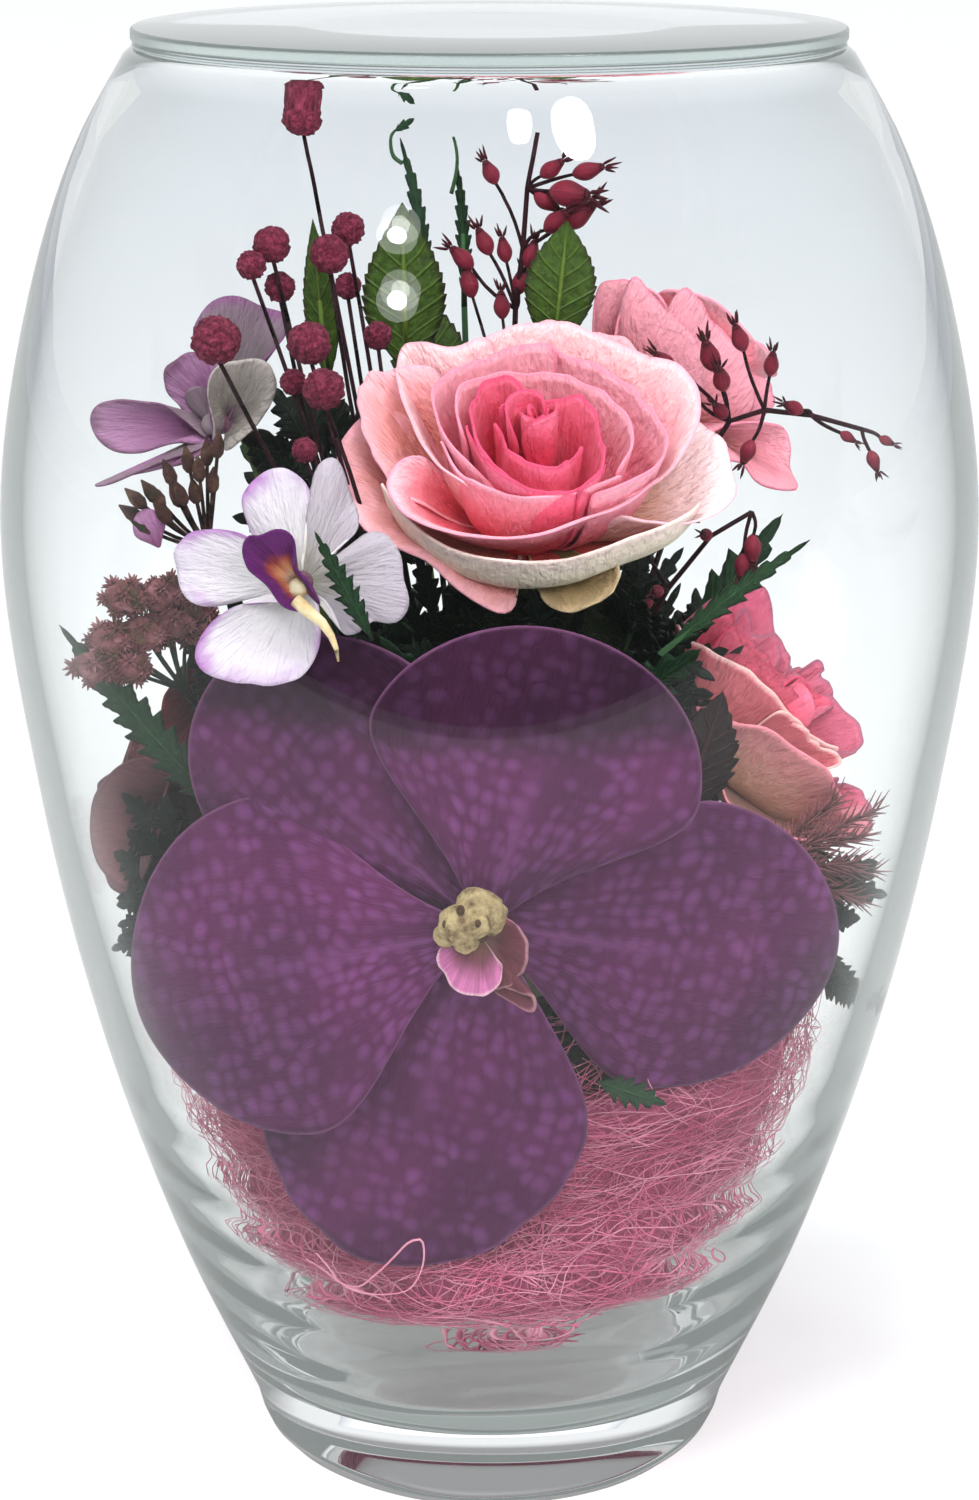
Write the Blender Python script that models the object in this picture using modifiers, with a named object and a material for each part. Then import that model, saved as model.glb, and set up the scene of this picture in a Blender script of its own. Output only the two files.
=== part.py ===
"""Preserved roses and orchids standing in dry foam inside a sealed glass vase.

Lengths are millimetres, turned into metres when a finished piece becomes an object. The origin is
the middle of the vase's underside, +Z is up, and the side that shows the large orchid faces -Y.
"""
import bpy
import bmesh
import math
import random
from mathutils import Matrix, Vector

MM = 0.001
GAP = 0.3

# Vase: the outside radius at each height, and the wall's thickness at each height
VASE_OUTSIDE = ((8, 34.2), (32, 44.6), (64, 54.9), (100, 62.4), (136, 66.0), (165, 61.3), (185, 54.4),
                (197.3, 47.4))
VASE_WALL = ((16, 6.0), (40, 4.5), (80, 3.4), (150, 2.8), (197.3, 2.6))
VASE_RIM = 197.3
VASE_FLOOR = 13.0
BASE_FLAT = 27.0
FLOOR_FLAT = 22.0
VASE_STEPS = 32
SEAL_STEPS = 28

# Lid and the sealant ring that holds it to the rim
LID_RADIUS = 46.9
LID_TOP = 200.0
LID_THICK = 1.8
SEAL_RADIUS = 45.9
SEAL_WIDTH = 1.6
SEAL_THICK = 0.3

# Dry foam block and the stems that stand in it
FOAM_RADIUS = 20.0
FOAM_LOW = 32.0
FOAM_TOP = 88.0
FOAM_FOCUS = Vector((0, 0, 55))
STEM_DEPTH = 10.0
HOLE_SLACK = 0.6
HOLE_SIDES = 5
FOAM_SIDES = 20

# Fibre nest: outside radius at each height, the slope of its top down to the foam, and its dent
NEST_OUTSIDE = ((13.5, 5.0), (18, 11.5), (24, 20.0), (31, 28.5), (40, 35.5), (50, 41.0), (60, 45.6))
NEST_TOP = 60.0
NEST_RIM_WIDTH = 2.6
NEST_SLOPE = (50.0, 33.0)
NEST_WELL_TOP = 42.0
NEST_WELL = 21.6
NEST_WELL_FLOOR = 30.4
NEST_FRONT_DENT = 12.0
NEST_SIDES = 24
NEST_STRANDS = 7

BLADE = 0.7
LARGE_BLADE = 0.9
SHARP_ANGLE = 35

SCENE = bpy.context.scene


def clear_scene():
    """Start from an empty scene."""
    for item in list(bpy.data.objects):
        bpy.data.objects.remove(item)


def new_collection(name):
    """A collection of this name under the scene's own."""
    group = bpy.data.collections.new(name)
    SCENE.collection.children.link(group)
    return group


def material(name, colour, roughness=0.6, metallic=0.0, transmission=0.0):
    """A plain surface in one of the arrangement's colours."""
    made = bpy.data.materials.new(name)
    made.use_nodes = True
    shader = made.node_tree.nodes["Principled BSDF"]
    shader.inputs["Base Color"].default_value = (*colour, 1)
    shader.inputs["Roughness"].default_value = roughness
    shader.inputs["Metallic"].default_value = metallic
    shader.inputs["Transmission Weight"].default_value = transmission
    return made


def smooth(value):
    """An even step from 0 to 1."""
    value = min(max(value, 0.0), 1.0)
    return value * value * (3 - 2 * value)


def curve_through(stations, at):
    """The height of a smooth curve through (place, value) stations."""
    places = [place for place, _ in stations]
    values = [value for _, value in stations]
    if at <= places[0]:
        return values[0]
    if at >= places[-1]:
        return values[-1]
    k = max(i for i, place in enumerate(places) if place <= at)
    span = places[k + 1] - places[k]
    slope = (values[k + 1] - values[k]) / span
    before = (values[k] - values[k - 1]) / (places[k] - places[k - 1]) if k else slope
    after = slope
    if k + 2 < len(places):
        after = (values[k + 2] - values[k + 1]) / (places[k + 2] - places[k + 1])
    start, end = (before + slope) / 2, (slope + after) / 2
    t = (at - places[k]) / span
    return ((2 * t**3 - 3 * t**2 + 1) * values[k] + (t**3 - 2 * t**2 + t) * span * start
            + (3 * t**2 - 2 * t**3) * values[k + 1] + (t**3 - t**2) * span * end)


def vase_outside(height):
    """Outside radius of the vase."""
    return curve_through(VASE_OUTSIDE, height)


def vase_inside(height):
    """Inside radius of the vase."""
    return vase_outside(height) - curve_through(VASE_WALL, height)


def aim(origin, axis, side):
    """A frame at a point, with +Z along the axis and +Y as near the side direction as it can be."""
    z = Vector(axis).normalized()
    x = Vector(side).cross(z).normalized()
    y = z.cross(x)
    frame = Matrix((x, y, z)).transposed().to_4x4()
    frame.translation = Vector(origin)
    return frame


def lay(base, tip, facing):
    """A frame at a blade's base, with +Y towards its tip and +Z the way its upper face looks."""
    y = (Vector(tip) - Vector(base)).normalized()
    x = y.cross(Vector(facing)).normalized()
    frame = Matrix((x, y, x.cross(y))).transposed().to_4x4()
    frame.translation = Vector(base)
    return frame


def blade(shape, columns, rows, frame, thickness=BLADE):
    """A closed thin sheet; shape(x, y) places each point of a grid that runs from -1 to 1 each way."""
    bm = bmesh.new()
    bmesh.ops.create_grid(bm, x_segments=columns, y_segments=rows, size=1)
    for vert in bm.verts:
        vert.co = shape(vert.co.x, vert.co.y)
    bmesh.ops.remove_doubles(bm, verts=bm.verts[:], dist=0.02)
    bmesh.ops.triangulate(bm, faces=bm.faces[:])
    bmesh.ops.solidify(bm, geom=bm.faces[:], thickness=thickness)
    bm.transform(frame)
    return bm


def round_to_disc(x, y):
    """Move a point of the square onto the disc, so that a blade's outline is round."""
    return x * math.sqrt(1 - y * y / 2), y * math.sqrt(1 - x * x / 2)


def tepal_shape(length, half_width, claw=0.3, cup=0.0, arch=0.0):
    """A broad rounded petal on a narrow claw."""
    def shape(x, y):
        x, y = round_to_disc(x, y)
        t = (y + 1) / 2
        width = half_width * (claw + (1 - claw) * smooth(t / 0.55))
        return Vector((x * width, t * length, arch * 4 * t * (1 - t) - cup * x * x))
    return shape


def leaf_shape(length, half_width, rows, bite, sweep, arch, keel):
    """A pointed leaf whose edge steps in and out at every other row."""
    stalk = 0.5
    def shape(x, y):
        t = (y + 1) / 2
        tooth = round(t * rows) % 2
        width = half_width * math.sin(math.pi * min(t**0.8, 1)) * (1 if tooth else 1 - bite)
        width = max(width, stalk * half_width * (1 - t))
        ahead = sweep * length * abs(x) * (1 if tooth else 0) * (1 - t)
        return Vector((x * width, t * length + ahead, arch * 4 * t * (1 - t) - keel * abs(x) * width))
    return shape


def ball(radius, frame, scale=(1, 1, 1)):
    """A ball of twenty faces, stretched along the frame's axes."""
    bm = bmesh.new()
    bmesh.ops.create_icosphere(bm, subdivisions=1, radius=radius)
    bm.transform(frame @ Matrix.Diagonal((*scale, 1)))
    return bm


def drum(radius, depth, frame, sides=8, radius_top=None):
    """A short cylinder or cone, its middle at the frame's origin and its axis along the frame's Z."""
    bm = bmesh.new()
    bmesh.ops.create_cone(bm, cap_ends=True, segments=sides, radius1=radius,
                          radius2=radius if radius_top is None else radius_top, depth=depth)
    bmesh.ops.remove_doubles(bm, verts=bm.verts[:], dist=0.001)
    bm.transform(frame)
    return bm


def rod(start, end, radius):
    """A straight three-sided wire between two points."""
    start, end = Vector(start), Vector(end)
    return drum(radius, (end - start).length, aim((start + end) / 2, end - start, (0.31, 0.9, 0.2)), 3)


def wire(points, radius, sides=4):
    """A round stem along straight stretches between points, closed at both ends."""
    curve = bpy.data.curves.new("wire", "CURVE")
    curve.dimensions = "3D"
    curve.bevel_depth = radius
    curve.bevel_resolution = sides // 2 - 2
    curve.use_fill_caps = True
    spline = curve.splines.new("POLY")
    spline.points.add(len(points) - 1)
    for point, place in zip(spline.points, points):
        point.co = (*place, 1)
    guide = bpy.data.objects.new("wire", curve)
    SCENE.collection.objects.link(guide)
    mesh = bpy.data.meshes.new_from_object(guide.evaluated_get(bpy.context.evaluated_depsgraph_get()))
    bm = bmesh.new()
    bm.from_mesh(mesh)
    bmesh.ops.remove_doubles(bm, verts=bm.verts[:], dist=0.001)
    bpy.data.meshes.remove(mesh)
    bpy.data.objects.remove(guide)
    bpy.data.curves.remove(curve)
    return bm


def as_object(name, bm):
    """A mesh object in metres from a bmesh in millimetres."""
    bm.transform(Matrix.Scale(MM, 4))
    mesh = bpy.data.meshes.new(name)
    bm.to_mesh(mesh)
    bm.free()
    return bpy.data.objects.new(name, mesh)


def apply_modifiers(item):
    """Make an object's evaluated shape its own."""
    shaped = bpy.data.meshes.new_from_object(item.evaluated_get(bpy.context.evaluated_depsgraph_get()))
    item.modifiers.clear()
    item.data = shaped
    item.data.name = item.name


def keep_one_body(mesh):
    """Drop loose scraps and the walls of sealed hollows that joining left, and tidy tiny edges."""
    bm = bmesh.new()
    bm.from_mesh(mesh)
    groups = []
    unseen = set(bm.verts)
    while unseen:
        reached = {unseen.pop()}
        edge_of_search = list(reached)
        while edge_of_search:
            vert = edge_of_search.pop()
            near = {edge.other_vert(vert) for edge in vert.link_edges} - reached
            reached |= near
            edge_of_search += near
        unseen -= reached
        groups.append(reached)
    groups.sort(key=len)
    for group in groups[:-1]:
        bmesh.ops.delete(bm, geom=list(group), context="VERTS")
    bm.to_mesh(mesh)
    bm.free()


def finish(name, bodies, look):
    """Join closed bodies into one named solid with its material."""
    item = as_object(name, bodies[0])
    PART.objects.link(item)
    if len(bodies) > 1:
        for body in bodies[1:]:
            WORK.objects.link(as_object("joined", body))
        union = item.modifiers.new("union", "BOOLEAN")
        union.operation = "UNION"
        union.operand_type = "COLLECTION"
        union.collection = WORK
        union.solver = "MANIFOLD"
        apply_modifiers(item)
        for joined in list(WORK.objects):
            bpy.data.objects.remove(joined)
        keep_one_body(item.data)
    item.data.materials.clear()
    item.data.materials.append(look)
    item.data.shade_smooth()
    item.data.set_sharp_from_angle(angle=math.radians(SHARP_ANGLE))
    return item


def turned(name, profile, steps, look, loop=False):
    """A solid turned round Z from (radius, height) points that run down its outer side."""
    bm = bmesh.new()
    verts = [bm.verts.new((radius * MM, 0, height * MM)) for radius, height in profile]
    for a, b in zip(verts, verts[1:] + verts[:1] if loop else verts[1:]):
        bm.edges.new((a, b))
    mesh = bpy.data.meshes.new(name)
    bm.to_mesh(mesh)
    bm.free()
    item = bpy.data.objects.new(name, mesh)
    PART.objects.link(item)
    screw = item.modifiers.new("turn", "SCREW")
    screw.steps = screw.render_steps = steps
    screw.use_merge_vertices = True
    screw.merge_threshold = 0.00001
    screw.use_smooth_shade = True
    item.data.materials.append(look)
    return item


def make_vase():
    """The glass vase: a thick floor, a wall that thins upwards and a flat rim."""
    inner_heights = (18, 40, 70, 104, 138, 170)
    outer_heights = (182, 163, 140, 112, 78, 42, 8)
    profile = [(0, VASE_FLOOR), (FLOOR_FLAT, VASE_FLOOR)]
    profile += [(vase_inside(z), z) for z in inner_heights]
    profile += [(vase_inside(VASE_RIM), VASE_RIM), (vase_outside(VASE_RIM), VASE_RIM)]
    profile += [(vase_outside(z), z) for z in outer_heights]
    profile += [(31.6, 2.2), (BASE_FLAT, 0), (0, 0)]
    turned("vase", profile, VASE_STEPS, GLASS)


def make_lid():
    """The flat glass lid with its edges eased."""
    low, ease = LID_TOP - LID_THICK, 0.5
    profile = [(0, LID_TOP), (LID_RADIUS - ease, LID_TOP), (LID_RADIUS, LID_TOP - ease), (LID_RADIUS, low),
               (0, low)]
    turned("lid", profile, VASE_STEPS, GLASS)


def make_seal():
    """The thin ring of clear sealant between the rim and the lid."""
    low = VASE_RIM + GAP
    inner, outer = SEAL_RADIUS - SEAL_WIDTH / 2, SEAL_RADIUS + SEAL_WIDTH / 2
    profile = [(inner, low + SEAL_THICK), (outer, low + SEAL_THICK), (outer, low), (inner, low)]
    turned("seal_ring", profile, SEAL_STEPS, SEALANT, loop=True)


HOLES = []


def into_foam(point, radius):
    """The end in the foam of a straight stem from this point; its hole is kept for later."""
    point = Vector(point)
    line = (FOAM_FOCUS - point).normalized()
    entry = point + line * ((point.z - FOAM_TOP) / -line.z) if point.z > FOAM_TOP else point
    if point.z <= FOAM_TOP or math.hypot(entry.x, entry.y) > FOAM_RADIUS:
        flat = line.x**2 + line.y**2
        toward = -(point.x * line.x + point.y * line.y)
        off = point.x**2 + point.y**2 - FOAM_RADIUS**2
        entry = point + line * ((toward - math.sqrt(toward**2 - flat * off)) / flat)
    HOLES.append((entry, line, radius))
    return entry + line * STEM_DEPTH


def make_foam():
    """The dry foam block, with a plain blind hole for every stem."""
    middle = Matrix.Translation((0, 0, (FOAM_LOW + FOAM_TOP) / 2))
    block = as_object("foam", drum(FOAM_RADIUS, FOAM_TOP - FOAM_LOW, middle, FOAM_SIDES))
    PART.objects.link(block)
    for entry, line, radius in HOLES:
        ahead, behind = STEM_DEPTH + 2 * HOLE_SLACK, 6 + radius
        centre = entry + line * (ahead - behind) / 2
        side = Vector((0, 0, 1)).cross(line) if abs(line.z) < 0.99 else Vector((1, 0, 0))
        cutter = drum(radius + HOLE_SLACK, ahead + behind, aim(centre, line, side), HOLE_SIDES)
        WORK.objects.link(as_object("hole", cutter))
    cut = block.modifiers.new("holes", "BOOLEAN")
    cut.operation = "DIFFERENCE"
    cut.operand_type = "COLLECTION"
    cut.collection = WORK
    cut.solver = "MANIFOLD"
    apply_modifiers(block)
    for hole in list(WORK.objects):
        bpy.data.objects.remove(hole)
    block.data.materials.append(FOAM)


def nest_radius(height, turn):
    """The fibre's outside radius, drawn in at the front where the large orchid hangs."""
    front = max(0.0, -math.sin(turn))
    dent = NEST_FRONT_DENT * front**1.2 * smooth((height - 33) / 20)
    ripple = 0.5 * math.sin(7 * turn + height / 5) + 0.4 * math.sin(11 * turn - height / 3)
    return curve_through(NEST_OUTSIDE, height) - dent + ripple * smooth((height - 14) / 10)


def make_nest():
    """The bowl of sisal fibre: a rippled body with loose strands looping out of it."""
    draw = random.Random(5)
    outside = [(height, 0) for height, _ in NEST_OUTSIDE]
    slope_height, slope_radius = NEST_SLOPE
    inside = [(NEST_TOP + 0.8, NEST_RIM_WIDTH), (slope_height, nest_radius(slope_height, 0) - slope_radius),
              (NEST_WELL_TOP, None), (NEST_WELL_FLOOR, None)]
    bm = bmesh.new()
    rings = []
    for height, inset in outside + inside:
        made = bmesh.ops.create_circle(bm, segments=NEST_SIDES, radius=1)["verts"]
        for vert in made:
            turn = math.atan2(vert.co.y, vert.co.x)
            reach = NEST_WELL if inset is None else nest_radius(height, turn) - inset
            vert.co = Vector((reach * math.cos(turn), reach * math.sin(turn), height))
        rings.append(list({edge for vert in made for edge in vert.link_edges}))
    for low, high in zip(rings, rings[1:]):
        bmesh.ops.bridge_loops(bm, edges=low + high)
    bmesh.ops.holes_fill(bm, edges=[edge for edge in bm.edges if edge.is_boundary], sides=0)
    bmesh.ops.recalc_face_normals(bm, faces=bm.faces[:])
    bmesh.ops.triangulate(bm, faces=bm.faces[:])
    bodies = [bm]
    for k in range(NEST_STRANDS):
        turn = k * 2.4 + draw.uniform(-0.3, 0.3)
        low = draw.uniform(26, 50)
        spread, climb = draw.uniform(0.35, 0.6), draw.uniform(-8, 8)
        points = []
        for i in range(6):
            t = i / 5
            height = min(max(low + climb * t + 3 * math.sin(math.pi * t), 20), 56)
            angle = turn + spread * (t - 0.5) * 2
            reach = nest_radius(height, angle) - 1.0 + 2.6 * math.sin(math.pi * t)
            points.append(Vector((reach * math.cos(angle), reach * math.sin(angle), height)))
        bodies.append(wire(points, 0.45))
    finish("sisal_nest", bodies, SISAL)


# Orchid hubs: radius, half depth, and how far the front tepals stand before the back ones
LARGE_HUB = (3.6, 2.6, 1.3)
SMALL_HUB = (1.9, 1.7, 0.8)


def orchid(name, centre, normal, up, tepals, hub, grid, looks, lip_parts, stem_radius):
    """An orchid: tepals round a short hub, the lip in front of it and the stem behind it."""
    frame = aim(centre, normal, up)
    hub_radius, hub_half, whorl = hub
    bodies = [drum(hub_radius, 2 * hub_half, frame, 6)]
    for tip, half_width, facing, level, cup, arch in tepals:
        tip = Vector(tip)
        seen = frame.inverted() @ tip
        out = Vector((seen.x, seen.y, 0)).normalized()
        base = frame @ (out * hub_radius * 0.45 + Vector((0, 0, whorl * level)))
        length = (tip - base).length
        bodies.append(blade(tepal_shape(length, half_width, cup=cup, arch=arch), *grid,
                            lay(base, tip, facing), BLADE if length < 25 else LARGE_BLADE))
    finish(name + "_tepals", bodies, looks[0])
    front = frame @ Matrix.Translation((0, 0, hub_half + GAP))
    finish(name + "_lip", lip_parts(front), looks[1])
    back = frame @ Vector((0, 0, -hub_half - GAP))
    bend = frame @ Vector((0, 0, -hub_half - 2.5))
    end = into_foam(bend, stem_radius)
    finish(name + "_stem", [wire([back, bend, end], stem_radius, 6)], STEM_GREEN)


def vanda_lip(front):
    """Column, two side lobes and the narrow middle lobe with its dark tip."""
    def at(x, y, z):
        return front @ Vector((x, y, z))
    column = ball(3.0, front @ Matrix.Translation((0, 0.8, 2.6)), (1, 1, 0.86))
    out = front.col[2].to_3d()
    across = front.col[0].to_3d()
    lobes = [blade(tepal_shape(6.5, 2.4, claw=0.7, arch=0.6), 3, 3,
                   lay(at(s * 1.0, -0.5, 3.0), at(s * 4.4, -3.2, 5.4), out + across * s * 0.2), 0.8)
             for s in (-1, 1)]
    middle = blade(tepal_shape(10.5, 2.6, claw=0.6, cup=0.8, arch=1.2), 3, 3,
                   lay(at(0, -0.5, 2.6), at(0, -9.6, 4.2), out), 1.2)
    return [column, *lobes, middle]


def small_lip(front):
    """The lip of a small orchid: a two-lobed blade standing out and a short spur."""
    def at(x, y, z):
        return front @ Vector((x, y, z))
    out = front.col[2].to_3d()
    column = ball(1.5, front @ Matrix.Translation((0, 0, 1.4)), (1, 1, 0.9))
    lobe = blade(tepal_shape(8.0, 3.0, claw=0.45, cup=0.9, arch=0.8), 3, 3,
                 lay(at(0, -0.5, 1.2), at(0, -6.4, 5.2), out))
    spur = drum(1.1, 5.0, aim(at(0, 2.3, 1.9), front.col[1].to_3d() + out * 0.3, out), 6, 0.45)
    return [column, lobe, spur]


def make_orchids():
    """The large purple orchid and the two small ones."""
    vanda = (((-46.4, -24.5, 75.2), 22.6, (-0.38, -0.9, -0.1), 1, 3.0, 2.5),
             ((11.5, -41, 128.0), 21.8, (0.05, -1, -0.1), 1, 3.5, 1.5),
             ((-35.7, -26, 118.5), 20.0, (-0.35, -0.9, 0), -1, 3.0, 1.5),
             ((45.2, -24, 78.2), 20.8, (0.42, -0.9, -0.12), -1, 3.0, 2.5),
             ((-15.0, -36.0, 41.4), 22.0, (-0.1, -1, -0.12), -1, 5.0, 2.0))
    orchid("vanda", (-1.2, -39.5, 89.5), (0.02, -1, -0.05), (-0.67, 0, 0.74), vanda, LARGE_HUB, (5, 4),
           (PURPLE, LIP_CREAM), vanda_lip, 1.6)
    white = (((-39.6, -33.5, 136.8), 6.4, (-0.25, -0.95, 0.1), 1, 0.8, 0.6),
             ((-29.6, -38.5, 121.3), 6.6, (-0.1, -0.95, -0.25), 1, 0.8, 0.6),
             ((-11.8, -31.5, 130.0), 6.0, (0.2, -0.97, 0), -1, 0.8, 0.6),
             ((-18.2, -29.5, 146.2), 5.6, (0, -0.97, 0.2), -1, 0.8, 0.6),
             ((-26.6, -31, 147.2), 5.6, (-0.1, -0.97, 0.2), 1, 0.8, 0.6))
    orchid("white_orchid", (-23.5, -34.5, 133.2), (-0.1, -1, 0.05), (0.62, 0, -0.78), white, SMALL_HUB,
           (3, 3), (WHITE_TEPAL, LIP_PURPLE), small_lip, 0.8)
    lavender = (((-53.9, 0, 149.6), 4.6, (-0.1, -0.75, 0.6), 1, 0.6, 0.8),
                ((-43.3, 6, 155.5), 4.2, (-0.3, -0.8, 0.3), -1, 0.6, 0.6),
                ((-34.4, 10, 163.2), 6.2, (0.2, -0.9, 0.2), -1, 0.8, 0.6),
                ((-28.6, 4, 153.4), 5.0, (0.3, -0.9, -0.2), 1, 0.8, 0.6),
                ((-50.6, -2, 139.7), 4.2, (0.5, 0.2, -0.8), 1, 0.5, 0.6))
    orchid("lavender_orchid", (-36.3, 3.5, 146.1), (-0.45, -0.85, 0.2), (0.3, 0, -0.95), lavender, SMALL_HUB,
           (3, 3), (LAVENDER, LIP_PURPLE), small_lip, 0.8)


# Rose petals, layer by layer from the heart out: where the foot leaves the heart, how far the rim
# reaches, height, start, half angle in degrees, flare, inward pinch, rolled rim and drop of the rim
BUD = (2.4, 4.6, 14.5, 9.0, 62, 0.8, 1.4, 0.0, 0.0)
CUP = (3.2, 9.2, 16.0, 7.4, 47, 0.9, 1.2, 0.4, 0.3)
FOLD = (4.2, 14.2, 16.0, 5.9, 37, 1.0, 0.0, 1.2, 1.2)
BOWL = (5.0, 19.0, 15.0, 4.4, 37, 1.05, 0.0, 2.0, 2.4)
SKIRT = (5.6, 22.0, 13.0, 2.9, 37, 1.1, 0.0, 2.5, 3.6)
FULL_RING = {CUP: 4, FOLD: 5, BOWL: 5, SKIRT: 5}
ROSE_REACH = 24.5
STEM_RADIUS = 1.4
HEART_RADIUS = 7.4


def rose_petal(layer, turn, slip, widen, draw):
    """The shape of one petal, on polar lines round the rose's axis."""
    foot, reach, height, start, wrap, flare, pinch, roll, drop = layer
    half_angle = math.radians(wrap) * widen
    point = draw.uniform(0.4, 1.4)

    def shape(x, y):
        x, y = round_to_disc(x, y)
        t = (y + 1) / 2
        rim = max(0.0, (t - 0.6) / 0.4)
        angle = turn + x * half_angle * (0.42 + 0.58 * smooth(t / 0.6))
        radius = foot + (reach - foot) * t**flare - pinch * t**4 + roll * rim**2 + slip * x * smooth(t / 0.4)
        z = start + height * (1 - (1 - t)**1.35) - drop * rim**2 + point * rim * (1 - x * x)
        return Vector((radius * math.cos(angle), radius * math.sin(angle), z))
    return shape


def rose(name, base, axis, size, layers, look, seed):
    """A rose's petals on their heart, and under it the calyx with its sepals and stem."""
    draw = random.Random(seed)
    scale = size / ROSE_REACH
    steady = aim(base, axis, (0.2, 0.9, 0.3))
    frame = steady @ Matrix.Scale(scale, 4)
    bodies = [ball(HEART_RADIUS, frame @ Matrix.Translation((0, 0, 6.0)), (1, 1, 0.85))]
    for k, (count, layer) in enumerate(layers):
        full = FULL_RING.get(layer, count)
        for i in range(count):
            turn = 2 * math.pi * (i + 0.5 * (k % 2)) / count + draw.uniform(-0.06, 0.06) + 0.7 * k
            slip = 0.7 if layer is BUD else 1.0
            widen = full / count
            bodies.append(blade(rose_petal(layer, turn, slip, widen, draw), 3, 3, frame, BLADE / scale))
    finish(name + "_petals", bodies, look)
    bend = steady @ Vector((0, 0, -5.5))
    end = into_foam(bend, STEM_RADIUS)
    stem = wire([steady @ Vector((0, 0, -3.2)), bend, end], STEM_RADIUS, 6)
    finish(name + "_stem", [calyx(steady, 11.5 * scale), stem], STEM_GREEN)


def calyx(frame, reach):
    """The green cup under a rose, with every other point of its rim drawn out into a sepal."""
    bm = bmesh.new()
    bmesh.ops.create_cone(bm, cap_ends=True, segments=10, radius1=1.7, radius2=2.7, depth=3.6)
    top = max(bm.faces, key=lambda face: face.calc_center_median().z)
    for k, vert in enumerate(sorted(top.verts, key=lambda vert: math.atan2(vert.co.y, vert.co.x))):
        if k % 2:
            vert.co.x *= reach / 2.7
            vert.co.y *= reach / 2.7
            vert.co.z += 0.12 * reach
    bmesh.ops.poke(bm, faces=[top])["verts"][0].co.z = 1.6
    bmesh.ops.triangulate(bm, faces=bm.faces[:])
    bm.transform(frame @ Matrix.Translation((0, 0, -GAP - 2.1)))
    return bm


def make_roses():
    """The four roses: one wide open in front, one to the right, one behind and one to the left."""
    rose("rose_front", (4.8, -5.5, 132.0), (0, -0.57, 0.82), 27.3,
         ((3, BUD), (4, CUP), (4, FOLD), (5, BOWL), (5, SKIRT)), PINK, 1)
    rose("rose_right", (29.5, 1.0, 97.5), (0.74, -0.22, 0.63), 20.5,
         ((3, CUP), (4, BOWL), (5, SKIRT)), DEEP_PINK, 2)
    rose("rose_back", (22.5, 21.5, 141.0), (0.45, 0.42, 0.78), 20.0,
         ((3, CUP), (4, BOWL), (4, SKIRT)), PINK, 3)
    rose("rose_left", (-37.0, 5.0, 92.0), (-0.93, -0.04, 0.35), 17.0, ((3, CUP), (4, SKIRT)), DUSKY, 4)


def knob(radius, place):
    """A knobbly ball head: every other corner of a low globe is raised."""
    bm = bmesh.new()
    bmesh.ops.create_uvsphere(bm, u_segments=6, v_segments=4 if radius < 2.4 else 5, radius=radius)
    for vert in bm.verts:
        sector = round(math.atan2(vert.co.y, vert.co.x) / (math.pi / 3))
        level = round(vert.co.z / radius * 1.6)
        vert.co *= 1.08 if (sector + level) % 2 else 0.94
    bm.transform(Matrix.Translation(place))
    return bm


def ball_spray(name, heads, fork, look):
    """Knobbly ball heads on wiry stems that meet at a fork above the foam."""
    bodies = []
    fork = Vector(fork)
    for place, radius in heads:
        place = Vector(place)
        bodies.append(knob(radius, place))
        below = fork - (place - fork).normalized() * 0.4
        bodies.append(rod(place - Vector((0, 0, radius * 0.5)), below, 0.45))
    end = into_foam(fork, 0.6)
    bodies.append(wire([fork + (fork - end).normalized() * 0.6, end], 0.6))
    finish(name, bodies, look)


def make_ball_sprays():
    """Three sprays of pink ball heads on the left."""
    back = (((-25, 5, 187.1), 2.7), ((-19.2, 8, 171.7), 2.3), ((-21.4, 0.5, 169.4), 2.7),
            ((-19.5, 11, 163.6), 1.9), ((-15.2, 5, 157.8), 2.0))
    left = (((-28.8, -3, 171.2), 2.5), ((-31.4, -5, 168.8), 2.0), ((-28.0, -1, 165.3), 2.1),
            ((-35.5, -14, 160.4), 3.3), ((-26.1, -6, 153.5), 1.8))
    front = (((-23.6, -10.5, 159.4), 2.9), ((-21.6, -14, 154.0), 2.8), ((-23.6, -24, 147.9), 1.7))
    ball_spray("ball_spray_back", back, (-12.5, 3, 118), BALL_PINK)
    ball_spray("ball_spray_left", left, (-16.5, -7, 118), BALL_PINK)
    ball_spray("ball_spray_front", front, (-14, -12.5, 124), BALL_PINK)


def pod(place, direction, length):
    """An urn-shaped seed pod that opens in pointed tips."""
    bm = bmesh.new()
    sides = 5 if length > 5 else 4
    bmesh.ops.create_cone(bm, cap_ends=True, segments=sides, radius1=0.12, radius2=0.32, depth=0.4)
    mouth = max(bm.faces, key=lambda face: face.calc_center_median().z)
    for scale, rise in ((0.84, 0.26), (1.1, 0.36)):
        mouth = bmesh.ops.extrude_discrete_faces(bm, faces=[mouth])["faces"][0]
        for vert in mouth.verts:
            vert.co = Vector((vert.co.x * scale, vert.co.y * scale, vert.co.z + rise))
    centre = bmesh.ops.poke(bm, faces=[mouth])["verts"][0]
    centre.co.z -= 0.3
    bm.transform(aim(place, direction, (0.3, 0.9, 0.1)) @ Matrix.Scale(length, 4))
    return bm


def pod_spray(name, stalk, pods, look, radius):
    """Seed pods on short branches of one wiry stalk; each pod names the stalk point it grows from."""
    stalk = [Vector(point) for point in stalk]
    end = into_foam(stalk[-1], radius)
    bodies = [wire([*stalk, end], radius)]
    for place, joint, length in pods:
        place = Vector(place)
        out = (place - stalk[joint]).normalized()
        bodies.append(pod(place, out, length))
        bodies.append(rod(stalk[joint] - out * 0.2, place - out * length * 0.1, 0.4))
    finish(name, bodies, look)


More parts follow.
